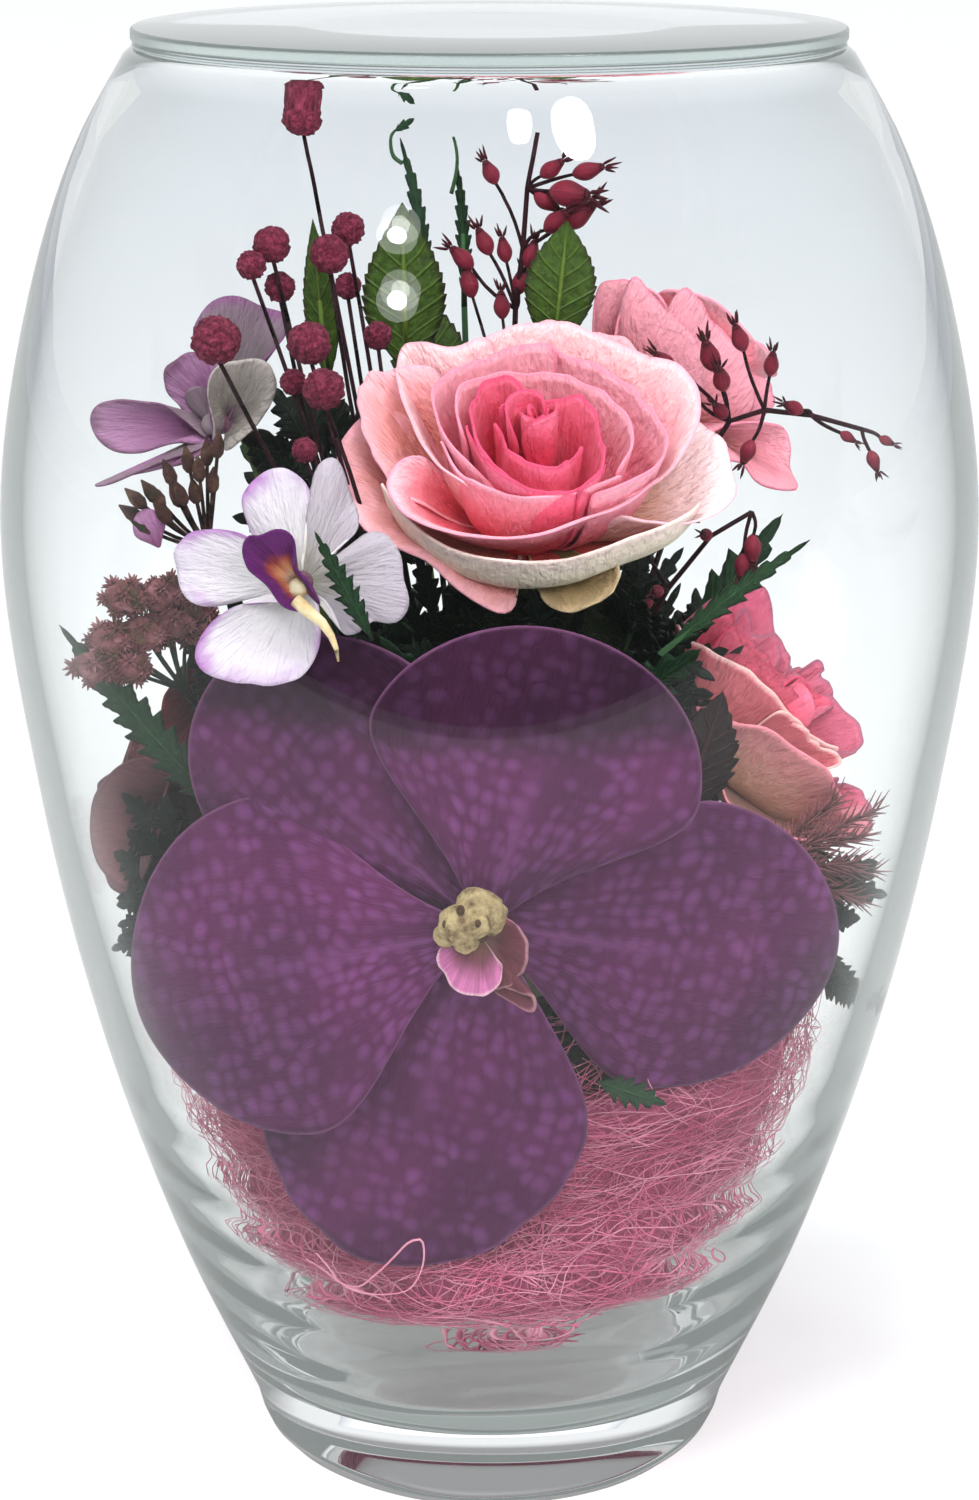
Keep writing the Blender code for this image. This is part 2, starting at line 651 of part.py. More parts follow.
def make_pod_sprays():
    """The dark red seed pods above, to the right of, and below the front rose."""
    top = ((6.6, 15, 184), (5.2, 15, 176), (4.6, 15, 168), (3.6, 14, 160), (3.0, 11, 140))
    top_pods = (((0.6, 14, 178.8), 2, 6.2), ((11.0, 14, 180.2), 1, 7.0), ((8.6, 17, 175.6), 2, 6.8),
                ((12.2, 15.5, 173.6), 3, 6.8), ((-0.6, 15, 169.6), 3, 5.6), ((-2.9, 15.5, 165.6), 4, 7.0),
                ((1.2, 11, 161.2), 4, 5.6))
    pod_spray("pod_spray_top", top, top_pods, POD_RED, 0.45)
    right = ((50.0, -4, 146.8), (43.2, -3, 148.5), (37.0, -2, 149.0), (32.4, -1, 147.3), (25, 1, 134))
    right_pods = (((53.0, -5, 146.0), 0, 3.2), ((51.2, -5.5, 143.4), 0, 3.2), ((46.8, -4.4, 146.2), 1, 3.0),
                  ((41.0, -4, 151.2), 2, 3.8), ((38.2, -3, 155.6), 2, 4.2), ((34.2, -3, 158.2), 3, 4.4),
                  ((30.5, -4, 156.0), 3, 4.8))
    pod_spray("pod_spray_right", right, right_pods, POD_RED, 0.4)
    low = ((34.8, -11, 137.0), (29.5, -10, 133.5), (24, -8.5, 126), (17, -6, 112))
    low_pods = (((35.2, -12, 134.6), 0, 4.4), ((27.0, -12, 134.4), 1, 4.0), ((22.6, -12.5, 127.6), 2, 4.2))
    pod_spray("pod_spray_low", low, low_pods, POD_RED, 0.4)


def frond(name, base, tip, facing, half_width, look, teeth=8, bite=0.55, arch=0.0, keel=0.0):
    """A toothed blade on a wiry stem that stands in the foam."""
    base, tip = Vector(base), Vector(tip)
    shape = leaf_shape((tip - base).length, half_width, 2 * teeth, bite, 0.5 / teeth, arch, keel)
    bodies = [blade(shape, 2 if keel else 1, 2 * teeth, lay(base, tip, facing))]
    end = into_foam(base, 0.7)
    bodies.append(wire([base + (tip - base).normalized() * 3.0, base, end], 0.7))
    finish(name, bodies, look)


def make_ferns():
    """Narrow toothed fern fronds, front and back."""
    frond("fern_top_left", (-8.5, 25, 158), (-12.5, 26, 186), (0.5, -0.85, 0), 2.6, FERN, arch=1.5)
    frond("fern_top_mid", (-3.6, 28, 158), (-4.7, 28, 182.5), (-0.4, -0.9, 0), 2.4, FERN, arch=-1.2)
    frond("fern_right", (22.5, -20, 120), (41.8, -18, 134.9), (0, -0.7, 0.7), 3.2, FERN, 7, arch=1.0)
    frond("fern_left", (-34, -17, 96), (-56, -20, 124.0), (-0.2, -0.95, 0.1), 4.2, FERN, arch=1.5)
    frond("fern_low_left", (-36, -13, 84), (-51, -10, 74), (-0.3, -0.9, 0.2), 4.2, FERN, 6)
    frond("fern_low_right", (31, -9, 77), (48, -7, 70), (0.2, -0.95, 0.2), 3.4, FERN, 6)
    frond("fern_bottom", (13, -25, 75), (19.5, -27, 62), (0, -0.9, 0.3), 3.4, FERN, 5)
    frond("fern_mid_left", (-5, -24, 112), (-14, -33, 126), (-0.5, -0.8, 0.4), 3.8, FERN, 5)
    frond("fern_mid_right", (16, -20, 112), (27, -32, 124), (0.3, -0.9, 0.4), 3.6, FERN, 5)
    frond("fern_back_left", (-24, 26, 120), (-38, 38, 142), (-0.4, 0.8, 0.4), 4.4, FERN, 6)
    frond("fern_back_mid", (2, 34, 112), (4, 52, 130), (0, 0.7, 0.7), 4.4, FERN, 6)
    frond("fern_back_right", (28, 28, 108), (44, 38, 126), (0.5, 0.8, 0.3), 4.2, FERN, 6)
    frond("fern_back_low", (-8, 34, 84), (-12, 50, 80), (0, 0.4, 0.9), 4.2, FERN, 6)


def make_leaves():
    """Broad toothed leaves, bright green above and dark maroon beside the right-hand rose."""
    frond("leaf_top_left", (-11.8, 18.2, 151), (-12.2, 21, 173.5), (0.1, -1, 0.1), 6.2, LEAF, 5, 0.13,
          0.8, 0.12)
    frond("leaf_top_right", (8.4, 9.5, 155), (10.6, 10.0, 173), (0.1, -1, 0.15), 5.4, LEAF, 5, 0.13,
          0.8, 0.12)
    frond("leaf_left", (-22.5, 15, 150), (-24.5, 16, 172), (-0.2, -1, 0.1), 2.6, LEAF, 5, 0.13, 0.6, 0.1)
    frond("leaf_maroon", (27, -19, 98), (34, -23, 115), (0.3, -0.95, 0), 5.2, MAROON, 4, 0.2, 0.6, 0.1)
    frond("leaf_back_high", (-6, 34, 140), (-12, 42, 160), (-0.2, 0.9, 0.3), 6.0, LEAF, 5, 0.13, 1.0)
    frond("leaf_back_low", (16, 30, 92), (24, 46, 100), (0.2, 0.5, 0.85), 6.0, LEAF, 5, 0.13, 1.0)
    frond("leaf_back_left", (-28, 24, 96), (-40, 36, 106), (-0.5, 0.6, 0.6), 6.0, LEAF, 5, 0.13, 1.0)


def make_fillers():
    """Fluffy filler florets and, above them, a spray of pointed buds."""
    draw = random.Random(11)
    centre = Vector((-43, -20, 127))
    bodies = [ball(3.0, Matrix.Translation(centre), (1.6, 1, 0.9))]
    florets = 10
    for k in range(florets):
        turn, level = 2.4 * k, 1 - 2 * (k + 0.5) / florets
        spread = math.sqrt(1 - level**2)
        place = centre + Vector((8.6 * spread * math.cos(turn) + 2 * level, 3.6 * spread * math.sin(turn),
                                 6.0 * level))
        bodies.append(ball(draw.uniform(1.8, 2.2), Matrix.Translation(place)))
        bodies.append(rod(centre, place, 0.6))
    end = into_foam(centre, 0.7)
    bodies.append(wire([centre, end], 0.7))
    finish("filler_left", bodies, FILLER)
    fork = Vector((-37.5, -10, 132))
    bodies = []
    for k in range(6):
        tip = Vector((-47.5 + 2.2 * k, -13 - 1.5 * (k % 3), 138.5 + 1.3 * k - 2.2 * (k % 2)))
        out = (tip - fork).normalized()
        bodies.append(drum(1.1, 4.0, aim(tip - out * 2.0, out, (0, -1, 0)), 4, 0))
        bodies.append(rod(fork - out * 0.3, tip - out * 3.0, 0.45))
    end = into_foam(fork, 0.6)
    bodies.append(wire([fork + (fork - end).normalized() * 0.6, end], 0.6))
    finish("bud_spray_left", bodies, BUD_BROWN)


def make_bristles():
    """The needle spray beside the right-hand rose."""
    root, top = Vector((36, -17, 88)), Vector((48.5, -15, 89))
    line = (top - root).normalized()
    needles, length = 16, 6.0
    bodies = []
    for k in range(needles):
        place = root.lerp(top, 0.1 + 0.9 * k / (needles - 1))
        lean = math.radians(42 - 14 * k / needles)
        frame = aim(place, line, (0, 0, 1)) @ Matrix.Rotation(2.4 * k, 4, "Z") @ Matrix.Rotation(lean, 4, "Y")
        bodies.append(drum(0.5, length, frame @ Matrix.Translation((0, 0, length / 2)), 3, 0.2))
    end = into_foam(root, 0.7)
    bodies.append(wire([top, root, end], 0.7))
    finish("bristle_right", bodies, BRISTLE)


clear_scene()
PART = new_collection("preserved_rose_arrangement")
WORK = new_collection("joining")

GLASS = material("clear glass", (0.93, 0.98, 0.96), 0.02, transmission=1.0)
SEALANT = material("clear sealant", (0.95, 0.98, 0.97), 0.15, transmission=0.8)
FOAM = material("dry foam", (0.72, 0.66, 0.52), 0.95)
SISAL = material("pink sisal", (0.86, 0.34, 0.44), 0.8)
PURPLE = material("purple tepals", (0.17, 0.05, 0.21), 0.55)
LIP_CREAM = material("cream lip", (0.75, 0.55, 0.42), 0.5)
WHITE_TEPAL = material("white tepals", (0.85, 0.8, 0.87), 0.55)
LIP_PURPLE = material("purple lip", (0.35, 0.07, 0.4), 0.5)
LAVENDER = material("lavender tepals", (0.52, 0.32, 0.55), 0.55)
PINK = material("pink petals", (0.9, 0.42, 0.46), 0.6)
DEEP_PINK = material("deep pink petals", (0.85, 0.27, 0.36), 0.6)
DUSKY = material("dusky petals", (0.3, 0.1, 0.11), 0.65)
STEM_GREEN = material("green stems", (0.12, 0.2, 0.06), 0.7)
BALL_PINK = material("pink ball heads", (0.5, 0.1, 0.18), 0.8)
POD_RED = material("dark red pods", (0.3, 0.03, 0.06), 0.5)
FERN = material("fern green", (0.03, 0.09, 0.04), 0.7)
LEAF = material("leaf green", (0.1, 0.22, 0.03), 0.6)
MAROON = material("maroon leaf", (0.09, 0.03, 0.04), 0.65)
FILLER = material("dusty pink filler", (0.42, 0.2, 0.22), 0.9)
BRISTLE = material("pink brown needles", (0.3, 0.13, 0.16), 0.8)
BUD_BROWN = material("brown buds", (0.16, 0.09, 0.08), 0.8)

make_vase()
make_lid()
make_seal()
make_orchids()
make_roses()
make_ball_sprays()
make_pod_sprays()
make_ferns()
make_leaves()
make_fillers()
make_bristles()
make_nest()
make_foam()
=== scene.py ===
"""Finer pieces and finishes for preserved roses and orchids in a sealed glass vase.

Shapes are worked out in millimetres, from the middle of the vase's underside, and turned into metres
when a piece is finished. +Z is up and the side that shows the large orchid faces -Y.
"""
import bpy
import bmesh
import math
import random
from mathutils import Matrix, Vector, noise


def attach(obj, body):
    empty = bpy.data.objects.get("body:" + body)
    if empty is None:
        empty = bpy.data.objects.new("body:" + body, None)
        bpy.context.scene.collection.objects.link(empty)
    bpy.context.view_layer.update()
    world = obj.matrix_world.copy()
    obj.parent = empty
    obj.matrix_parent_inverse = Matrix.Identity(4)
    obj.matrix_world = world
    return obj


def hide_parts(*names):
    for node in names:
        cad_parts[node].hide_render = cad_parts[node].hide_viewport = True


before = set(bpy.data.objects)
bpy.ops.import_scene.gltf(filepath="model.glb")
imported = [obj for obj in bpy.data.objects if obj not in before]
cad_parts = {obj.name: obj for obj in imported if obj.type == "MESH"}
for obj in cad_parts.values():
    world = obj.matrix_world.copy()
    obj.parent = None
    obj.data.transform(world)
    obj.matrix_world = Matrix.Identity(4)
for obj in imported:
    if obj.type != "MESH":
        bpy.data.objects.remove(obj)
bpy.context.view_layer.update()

SCENE = bpy.context.scene
MM = 0.001

# Camera: where it stands, how far it looks down, and its lens on a picture 36 mm high
CAMERA_PLACE = Vector((0, -459, 233.7))
CAMERA_TILT = math.radians(73.88)
CAMERA_LENS = 82.56
SENSOR = 36
PICTURE = (979, 1500)
FACING_CAMERA = ((0, 0, 0), (0, -1, 0))

# Vase: the outside radius at each height, and the wall's thickness at each height
VASE_OUTSIDE = ((8, 34.2), (32, 44.6), (64, 54.9), (100, 62.4), (136, 66.0), (165, 61.3), (185, 54.4),
                (197.3, 47.4))
VASE_WALL = ((16, 6.0), (40, 4.5), (80, 3.4), (150, 2.8), (197.3, 2.6))
VASE_RIM = 197.3
VASE_FLOOR = 13.0
BASE_FLAT = 27.0
FLOOR_FLAT = 22.0
RIM_SOFT = 0.8
RIPPLE_TOP = 75
RIPPLE_SWELL = 0.22
TURN_STEPS = 160
INNER_STEPS = 100
OUTER_STEPS = 60
LID_RADIUS = 46.9
LID_TOP = 200.0
LID_THICK = 1.8
SEAL_RADIUS = 45.9
SEAL_WIDTH = 1.6
SEAL_THICK = 0.3
GAP = 0.3

# Foam block and fibre nest
FOAM_FOCUS = Vector((0, 0, 55))
FOAM_RADIUS = 20.0
FOAM_TOP = 88.0
STEM_DEPTH = 8.0
NEST_OUTSIDE = (
    (13.5, 1.5), (16.5, 4.5), (19.5, 13), (24, 22.5), (30, 30), (36, 34.4), (42, 38), (52, 42.5), (60, 46))
NEST_TOP = 60.0
NEST_FRONT_DENT = 15.5
NEST_WELL = 21.6
NEST_FOOT = 13.9
NEST_FOLDS = 72


def evenly(first, last, steps):
    """Values from first to last in equal steps."""
    return [first + (last - first) * k / steps for k in range(steps + 1)]


def smooth(value):
    """An even step from 0 to 1."""
    value = min(max(value, 0.0), 1.0)
    return value * value * (3 - 2 * value)


def curve_through(stations, at):
    """The height of a smooth curve through (place, value) stations."""
    places = [place for place, _ in stations]
    values = [value for _, value in stations]
    if at <= places[0]:
        return values[0]
    if at >= places[-1]:
        return values[-1]
    k = max(i for i, place in enumerate(places) if place <= at)
    span = places[k + 1] - places[k]
    slope = (values[k + 1] - values[k]) / span
    before = (values[k] - values[k - 1]) / (places[k] - places[k - 1]) if k else slope
    after = slope
    if k + 2 < len(places):
        after = (values[k + 2] - values[k + 1]) / (places[k + 2] - places[k + 1])
    start, end = (before + slope) / 2, (slope + after) / 2
    t = (at - places[k]) / span
    return ((2 * t**3 - 3 * t**2 + 1) * values[k] + (t**3 - 2 * t**2 + t) * span * start
            + (3 * t**2 - 2 * t**3) * values[k + 1] + (t**3 - t**2) * span * end)


def vase_outside(height):
    """Outside radius of the vase."""
    return curve_through(VASE_OUTSIDE, height)


def vase_inside(height):
    """Inside radius of the vase."""
    return vase_outside(height) - curve_through(VASE_WALL, height)


def aim(origin, axis, side):
    """A frame at a point, with +Z along the axis and +Y as near the side direction as it can be."""
    z = Vector(axis).normalized()
    x = Vector(side).cross(z).normalized()
    y = z.cross(x)
    placed = Matrix((x, y, z)).transposed().to_4x4()
    placed.translation = Vector(origin)
    return placed


def lay(base, tip, facing):
    """A frame at a blade's base, with +Y towards its tip and +Z the way its upper face looks."""
    y = (Vector(tip) - Vector(base)).normalized()
    x = y.cross(Vector(facing)).normalized()
    placed = Matrix((x, y, x.cross(y))).transposed().to_4x4()
    placed.translation = Vector(base)
    return placed


def seen_along(px, py):
    """The direction from the camera through a pixel of the picture."""
    tall = CAMERA_LENS / SENSOR * PICTURE[1]
    right = Vector((1, 0, 0))
    ahead = Vector((0, math.sin(CAMERA_TILT), -math.cos(CAMERA_TILT)))
    up = right.cross(ahead)
    return (ahead + right * (px - PICTURE[0] / 2) / tall + up * (PICTURE[1] / 2 - py) / tall).normalized()


def picture_point(px, py, origin, normal, height):
    """Where the camera's line through a pixel meets a plane that lies this high over a point."""
    line, normal = seen_along(px, py), Vector(normal).normalized()
    over = Vector(origin) + normal * height
    return CAMERA_PLACE + line * ((over - CAMERA_PLACE).dot(normal) / line.dot(normal))


def spot(px, py, front):
    """The point under a pixel, so many millimetres in front of the vase's middle."""
    return picture_point(px, py, *FACING_CAMERA, front)


# Materials

def rgb(red, green, blue):
    """A colour from its screen values, 0 to 255."""
    return tuple((value / 255 / 12.92) if value < 10.3 else ((value / 255 + 0.055) / 1.055)**2.4
                 for value in (red, green, blue))


def shades(stops):
    """Colour stops from a place and the three screen values of its colour."""
    return [(place, rgb(*colour)) for place, *colour in stops]


def new_look(name, colour, roughness, **sockets):
    """A material with one plain surface; sockets are spelled with _ for a space."""
    look = bpy.data.materials.new(name)
    look.use_nodes = True
    paint(look, Base_Color=(*colour, 1), Roughness=roughness, **sockets)
    return look


def give(look, socket, value):
    """Set a socket to a plain value, or link another node's output to it."""
    if isinstance(value, bpy.types.NodeSocket):
        look.node_tree.links.new(value, socket)
    elif isinstance(value, tuple) and len(value) == 3 and socket.type == "RGBA":
        socket.default_value = (*value, 1)
    else:
        socket.default_value = value


def paint(look, **values):
    """Set or link sockets of the material's surface."""
    surface = look.node_tree.nodes["Principled BSDF"]
    for name, value in values.items():
        give(look, surface.inputs[name.replace("_", " ")], value)


def add(look, kind, values, **settings):
    """Add a shader node with its settings and sockets."""
    made = look.node_tree.nodes.new("ShaderNode" + kind)
    for name, value in settings.items():
        setattr(made, name, value)
    for name, value in values.items():
        give(look, made.inputs[name], value)
    return made


def calc(look, operation, *values):
    """A sum on sockets or numbers."""
    made = look.node_tree.nodes.new("ShaderNodeMath")
    made.operation = operation
    for socket, value in zip(made.inputs, values):
        give(look, socket, value)
    return made.outputs[0]


def blend(look, factor, first, second, kind="MIX"):
    """Mix two colours."""
    made = look.node_tree.nodes.new("ShaderNodeMix")
    made.data_type = "RGBA"
    made.blend_type = kind
    for place, value in ((0, factor), (6, first), (7, second)):
        give(look, made.inputs[place], value)
    return made.outputs[2]


def ramp(look, factor, *stops):
    """A run of colours, or of plain values, along a factor."""
    made = add(look, "ValToRGB", {"Fac": factor})
    elements = made.color_ramp.elements
    for k, (place, colour) in enumerate(stops):
        if 0 < k < len(stops) - 1:
            element = elements.new(place)
        else:
            element = elements[0 if k == 0 else len(elements) - 1]
            element.position = place
        element.color = (*colour, 1) if isinstance(colour, tuple) else (colour, colour, colour, 1)
    return made.outputs["Color"]


def marked(look, name):
    """One of the coordinates that a piece carries on its points."""
    return look.node_tree.nodes[name].outputs["Vector"] if name in look.node_tree.nodes else \
        add(look, "Attribute", {}, attribute_name=name, name=name).outputs["Vector"]


def parts(look, vector):
    """The three parts of a vector."""
    return add(look, "SeparateXYZ", {"Vector": vector}).outputs


def stretched(look, vector, scale):
    """A vector multiplied part by part."""
    return add(look, "VectorMath", {0: vector, 1: scale}, operation="MULTIPLY").outputs["Vector"]


def grainy(look, vector, scale, detail=2.0, roughness=0.5):
    """Soft noise over a vector."""
    values = {"Vector": vector, "Scale": scale, "Detail": detail, "Roughness": roughness}
    return add(look, "TexNoise", values).outputs["Fac"]


def along_grain(look, scale, detail=2.0, roughness=0.5):
    """Soft noise on a blade's own coordinates, stretched part by part."""
    return grainy(look, stretched(look, marked(look, "grain"), scale), 1.0, detail, roughness)


def in_object(look):
    """Object coordinates, in millimetres."""
    return stretched(look, add(look, "TexCoord", {}).outputs["Object"], (1000, 1000, 1000))


def relief(look, height, depth):
    """Raise the surface by a height in metres where the factor is 1."""
    made = add(look, "Bump", {"Height": height, "Distance": depth, "Strength": 1.0})
    paint(look, Normal=made.outputs["Normal"])


def petal_look(name, stops, veins, roughness=0.55, rim=None, rim_from=0.9, tip=None, crumple=0.0):
    """Shades from a petal's foot to its rim, fine veins, soft blotches and, at its rim, another colour."""
    stops = shades(stops)
    look = new_look(name, stops[0][1], roughness, Sheen_Weight=0.04, Specular_IOR_Level=0.25)
    _, along, out = parts(look, marked(look, "place"))
    blotch = calc(look, "SUBTRACT", along_grain(look, (0.35, 0.25, 3.1), 3.0), 0.5)
    fine = along_grain(look, (2.6, 0.22, 1.7))
    shifted = calc(look, "ADD", along, calc(look, "MULTIPLY", blotch, 0.28))
    colour = ramp(look, shifted, *stops)
    if tip:
        patch = ramp(look, along_grain(look, (0.1, 0.1, 0.77), 1.0), (0.42, 0.1), (0.62, 1.0))
        near_tip = calc(look, "MULTIPLY", ramp(look, shifted, (0.84, 0.0), (1.08, 1.0)), patch)
        colour = blend(look, near_tip, colour, rgb(*tip))
    if rim:
        colour = blend(look, ramp(look, out, (rim_from, 0.0), (1.0, 1.0)), colour, rgb(*rim))
    shade = ramp(look, fine, (0.35, (1 - veins, 1 - veins * 1.1, 1 - veins)), (0.65, (1.0, 1.0, 1.0)))
    paint(look, Base_Color=blend(look, 1.0, colour, shade, "MULTIPLY"))
    if crumple:
        wrinkle = calc(look, "MULTIPLY", along_grain(look, (0.75, 0.3, 2.3), 3.0, 0.6), crumple)
        relief(look, calc(look, "MULTIPLY_ADD", fine, 0.12, wrinkle), 0.0015)
    else:
        relief(look, fine, 0.00012)
    return look


def netted_look(name, dark, light, edge):
    """Purple tepals with lighter spots in rows between a dark net, a pale midrib, a fine pale edge and
    painted shade on their upper parts.
    """
    dark, light = rgb(*dark), rgb(*light)
    look = new_look(name, dark, 0.6, Sheen_Weight=0.03, Specular_IOR_Level=0.2)
    across, along, out = parts(look, marked(look, "place"))
    grain = marked(look, "grain")
    wander = add(look, "TexNoise", {"Vector": grain, "Scale": 0.16, "Detail": 1.0}).outputs["Color"]
    moved = add(look, "VectorMath", {0: grain, 1: stretched(look, wander, (3.0, 3.0, 0.0))}, operation="ADD")
    rows = {"Vector": stretched(look, moved.outputs["Vector"], (0.4, 0.42, 1.0)), "Scale": 1.0,
            "Randomness": 0.55}
    spotted = ramp(look, add(look, "TexVoronoi", rows).outputs["Distance"], (0.05, 0.9), (0.33, 0.5),
                   (0.56, 0.0))
    patchy = ramp(look, along_grain(look, (0.11, 0.1, 2.3)), (0.3, 0.5), (0.7, 1.0))
    amount = calc(look, "MULTIPLY", spotted, patchy)
    colour = blend(look, amount, dark, light)
    wide = ramp(look, along_grain(look, (0.05, 0.05, 5.0), 1.0), (0.35, (0.8, 0.75, 0.85)),
                (0.65, (1.2, 1.1, 1.2)))
    colour = blend(look, 1.0, colour, wide, "MULTIPLY")
    middle = ramp(look, calc(look, "ABSOLUTE", across), (0.0, 1.0), (0.07, 0.0))
    near_foot = ramp(look, along, (0.12, 0.7), (0.66, 0.0))
    colour = blend(look, calc(look, "MULTIPLY", middle, near_foot), colour, light)
    # Painted shade: above about 111 mm over the floor the colour darkens, to about a third by 116 mm,
    # standing for the shade the rose above casts on the tepals' tops
    height = calc(look, "DIVIDE", parts(look, in_object(look))[2], LID_TOP)
    colour = blend(look, 1.0, colour, ramp(look, height, (0.556, 1.0), (0.58, 0.36)), "MULTIPLY")
    paint(look, Base_Color=blend(look, ramp(look, out, (0.98, 0.0), (1.0, 0.7)), colour, rgb(*edge)))
    relief(look, calc(look, "ADD", amount, along_grain(look, (1.5, 0.4, 1.0))), 0.00025)
    return look


def leaf_look(name, body, vein, rim, veins=9.0):
    """A leaf with a pale midrib, side veins that lean forward, mottling and a darker rim."""
    body = rgb(*body)
    look = new_look(name, body, 0.45, Specular_IOR_Level=0.35)
    across, along, _ = parts(look, marked(look, "place"))
    wide = calc(look, "ABSOLUTE", across)
    lean = calc(look, "SUBTRACT", along, calc(look, "MULTIPLY", wide, 0.16))
    step = calc(look, "SUBTRACT", calc(look, "FRACT", calc(look, "MULTIPLY", lean, veins)), 0.5)
    side = ramp(look, calc(look, "ABSOLUTE", step), (0.0, 1.0), (0.13, 0.0))
    middle = ramp(look, wide, (0.04, 1.0), (0.1, 0.0))
    mottle = along_grain(look, (0.9, 0.9, 2.0), 4.0, 0.6)
    dark, light = (tuple(part * amount for part in body) for amount in (0.55, 1.35))
    green = ramp(look, mottle, (0.35, dark), (0.55, body), (0.7, light))
    lines = calc(look, "MAXIMUM", middle, calc(look, "MULTIPLY", side, 0.6))
    colour = blend(look, lines, green, rgb(*vein))
    paint(look, Base_Color=blend(look, ramp(look, wide, (0.8, 0.0), (0.98, 1.0)), colour, rgb(*rim)))
    relief(look, calc(look, "ADD", lines, mottle), 0.0003)
    return look


def dried_look(name, colours, scale, roughness=0.8, depth=0.0002, sheen=0.03):
    """A dry surface that changes between a few colours from place to place, in millimetres."""
    stops = shades((0.3 + 0.4 * k / (len(colours) - 1), *colour) for k, colour in enumerate(colours))
    look = new_look(name, stops[0][1], roughness, Sheen_Weight=sheen, Specular_IOR_Level=0.2)
    place = in_object(look)
    paint(look, Base_Color=ramp(look, grainy(look, place, scale, 4.0, 0.6), *stops))
    relief(look, grainy(look, place, scale * 3.0, 3.0), depth)
    return look


# Light deep in the glass: its tint, and a painted grey glow that stands in for rays that turned about in it
# too often
DEEP_TINT = (0.86, 0.96, 0.94)
SPENT_GREY = 0.28
SPENT_MIRRORS = 3.5
SPENT_TURNS = 10.5


def glass_look(name, tint, roughness=0.0):
    """Clear glass that lets lamplight through to what stands inside, and glows a painted grey where rays have
    turned about in it too often.
    """
    look = new_look(name, tint, roughness, Transmission_Weight=1.0, IOR=1.45)
    surface = look.node_tree.nodes["Principled BSDF"]
    clear = add(look, "BsdfTransparent", {"Color": tint})
    path = add(look, "LightPath", {})
    soft = calc(look, "MAXIMUM", path.outputs["Is Shadow Ray"], path.outputs["Is Diffuse Ray"])
    either = add(look, "MixShader", {0: soft, 1: surface.outputs[0], 2: clear.outputs[0]})
    # Painted glow: past so many mirrorings or turns, the glass shines a plain tinted grey instead
    spent = calc(look, "MAXIMUM", calc(look, "GREATER_THAN", path.outputs["Glossy Depth"], SPENT_MIRRORS),
                 calc(look, "GREATER_THAN", path.outputs["Ray Depth"], SPENT_TURNS))
    grey = add(look, "Emission", {"Color": DEEP_TINT, "Strength": SPENT_GREY})
    last = add(look, "MixShader", {0: spent, 1: either.outputs[0], 2: grey.outputs[0]})
    give(look, look.node_tree.nodes["Material Output"].inputs["Surface"], last.outputs[0])
    return look


# Making pieces

def start():
    """An empty mesh whose points carry their place on their own petal or leaf."""
    bm = bmesh.new()
    bm.verts.layers.float_vector.new("grain")
    bm.verts.layers.float_vector.new("place")
    return bm


def placed(name, data):
    """A new object at the origin."""
    made = bpy.data.objects.new(name, data)
    SCENE.collection.objects.link(made)
    return made


def built(name, bm, looks):
    """An object in metres from a mesh in millimetres."""
    bm.transform(Matrix.Scale(MM, 4))
    mesh = bpy.data.meshes.new(name)
    bm.to_mesh(mesh)
    bm.free()
    for look in looks:
        mesh.materials.append(look)
    return placed(name, mesh)


def finish(name, bm, looks, nodes=(), thick=0.0, levels=0):
    """Turn a mesh in millimetres into a piece that rides on the vase and stands for its CAD nodes."""
    piece = built(name, bm, looks)
    piece.data.shade_smooth()
    if levels:
        finer = piece.modifiers.new("finer", "SUBSURF")
        finer.levels = finer.render_levels = levels
    if thick:
        shell = piece.modifiers.new("thickness", "SOLIDIFY")
        shell.thickness = thick * MM
        shell.offset = 0
        shell.material_offset = 1 if len(looks) > 1 else 0
        shell.material_offset_rim = 2 if len(looks) > 2 else 0
    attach(piece, "root")
    if nodes:
        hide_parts(*nodes)
    return piece


def round_to_disc(x, y):
    """Move a point of the square onto the disc, so that a blade's outline is round."""
    return x * math.sqrt(1 - y * y / 2), y * math.sqrt(1 - x * x / 2)


def sheet(bm, shape, columns, rows, placed, size, number, disc=True, thick=0.0):
    """Add one blade; shape(x, y) places each point of a grid that runs from -1 to 1 each way."""
    grain, place = bm.verts.layers.float_vector["grain"], bm.verts.layers.float_vector["place"]
    verts = bmesh.ops.create_grid(bm, x_segments=columns, y_segments=rows, size=1)["verts"]
    for vert in verts:
        x, y = vert.co.x, vert.co.y
        if disc:
            x, y = round_to_disc(x, y)
        t = (y + 1) / 2
        vert[place] = (x, t, math.hypot(x, y) if disc else max(t, abs(x)))
        vert[grain] = (x * size[0], t * size[1], 10 * number)
        vert.co = placed @ shape(x, y)
    bmesh.ops.remove_doubles(bm, verts=verts, dist=0.01)
    if thick:
        faces = list({face for vert in verts if vert.is_valid for face in vert.link_faces})
        bmesh.ops.recalc_face_normals(bm, faces=faces)
        bmesh.ops.solidify(bm, geom=faces, thickness=thick)


def tube(bm, points, radius, sides=6, end_radius=None):
    """A round stem through points, closed at both ends and thinner towards its end."""
    points = [Vector(point) for point in points]
    end_radius = radius if end_radius is None else end_radius
    last = None
    for k, point in enumerate(points):
        ahead = (points[min(k + 1, len(points) - 1)] - points[max(k - 1, 0)]).normalized()
        side = Vector((0.31, 0.2, 0.93)) if abs(ahead.z) < 0.9 else Vector((0, 1, 0))
        width = radius + (end_radius - radius) * k / (len(points) - 1)
        ring = bmesh.ops.create_circle(bm, cap_ends=k in (0, len(points) - 1), segments=sides, radius=width,
                                       matrix=aim(point, ahead, side))["verts"]
        edges = [edge for edge in {edge for vert in ring for edge in vert.link_edges}
                 if edge.verts[0] in ring and edge.verts[1] in ring]
        if last:
            bmesh.ops.bridge_loops(bm, edges=last + edges)
        last = edges


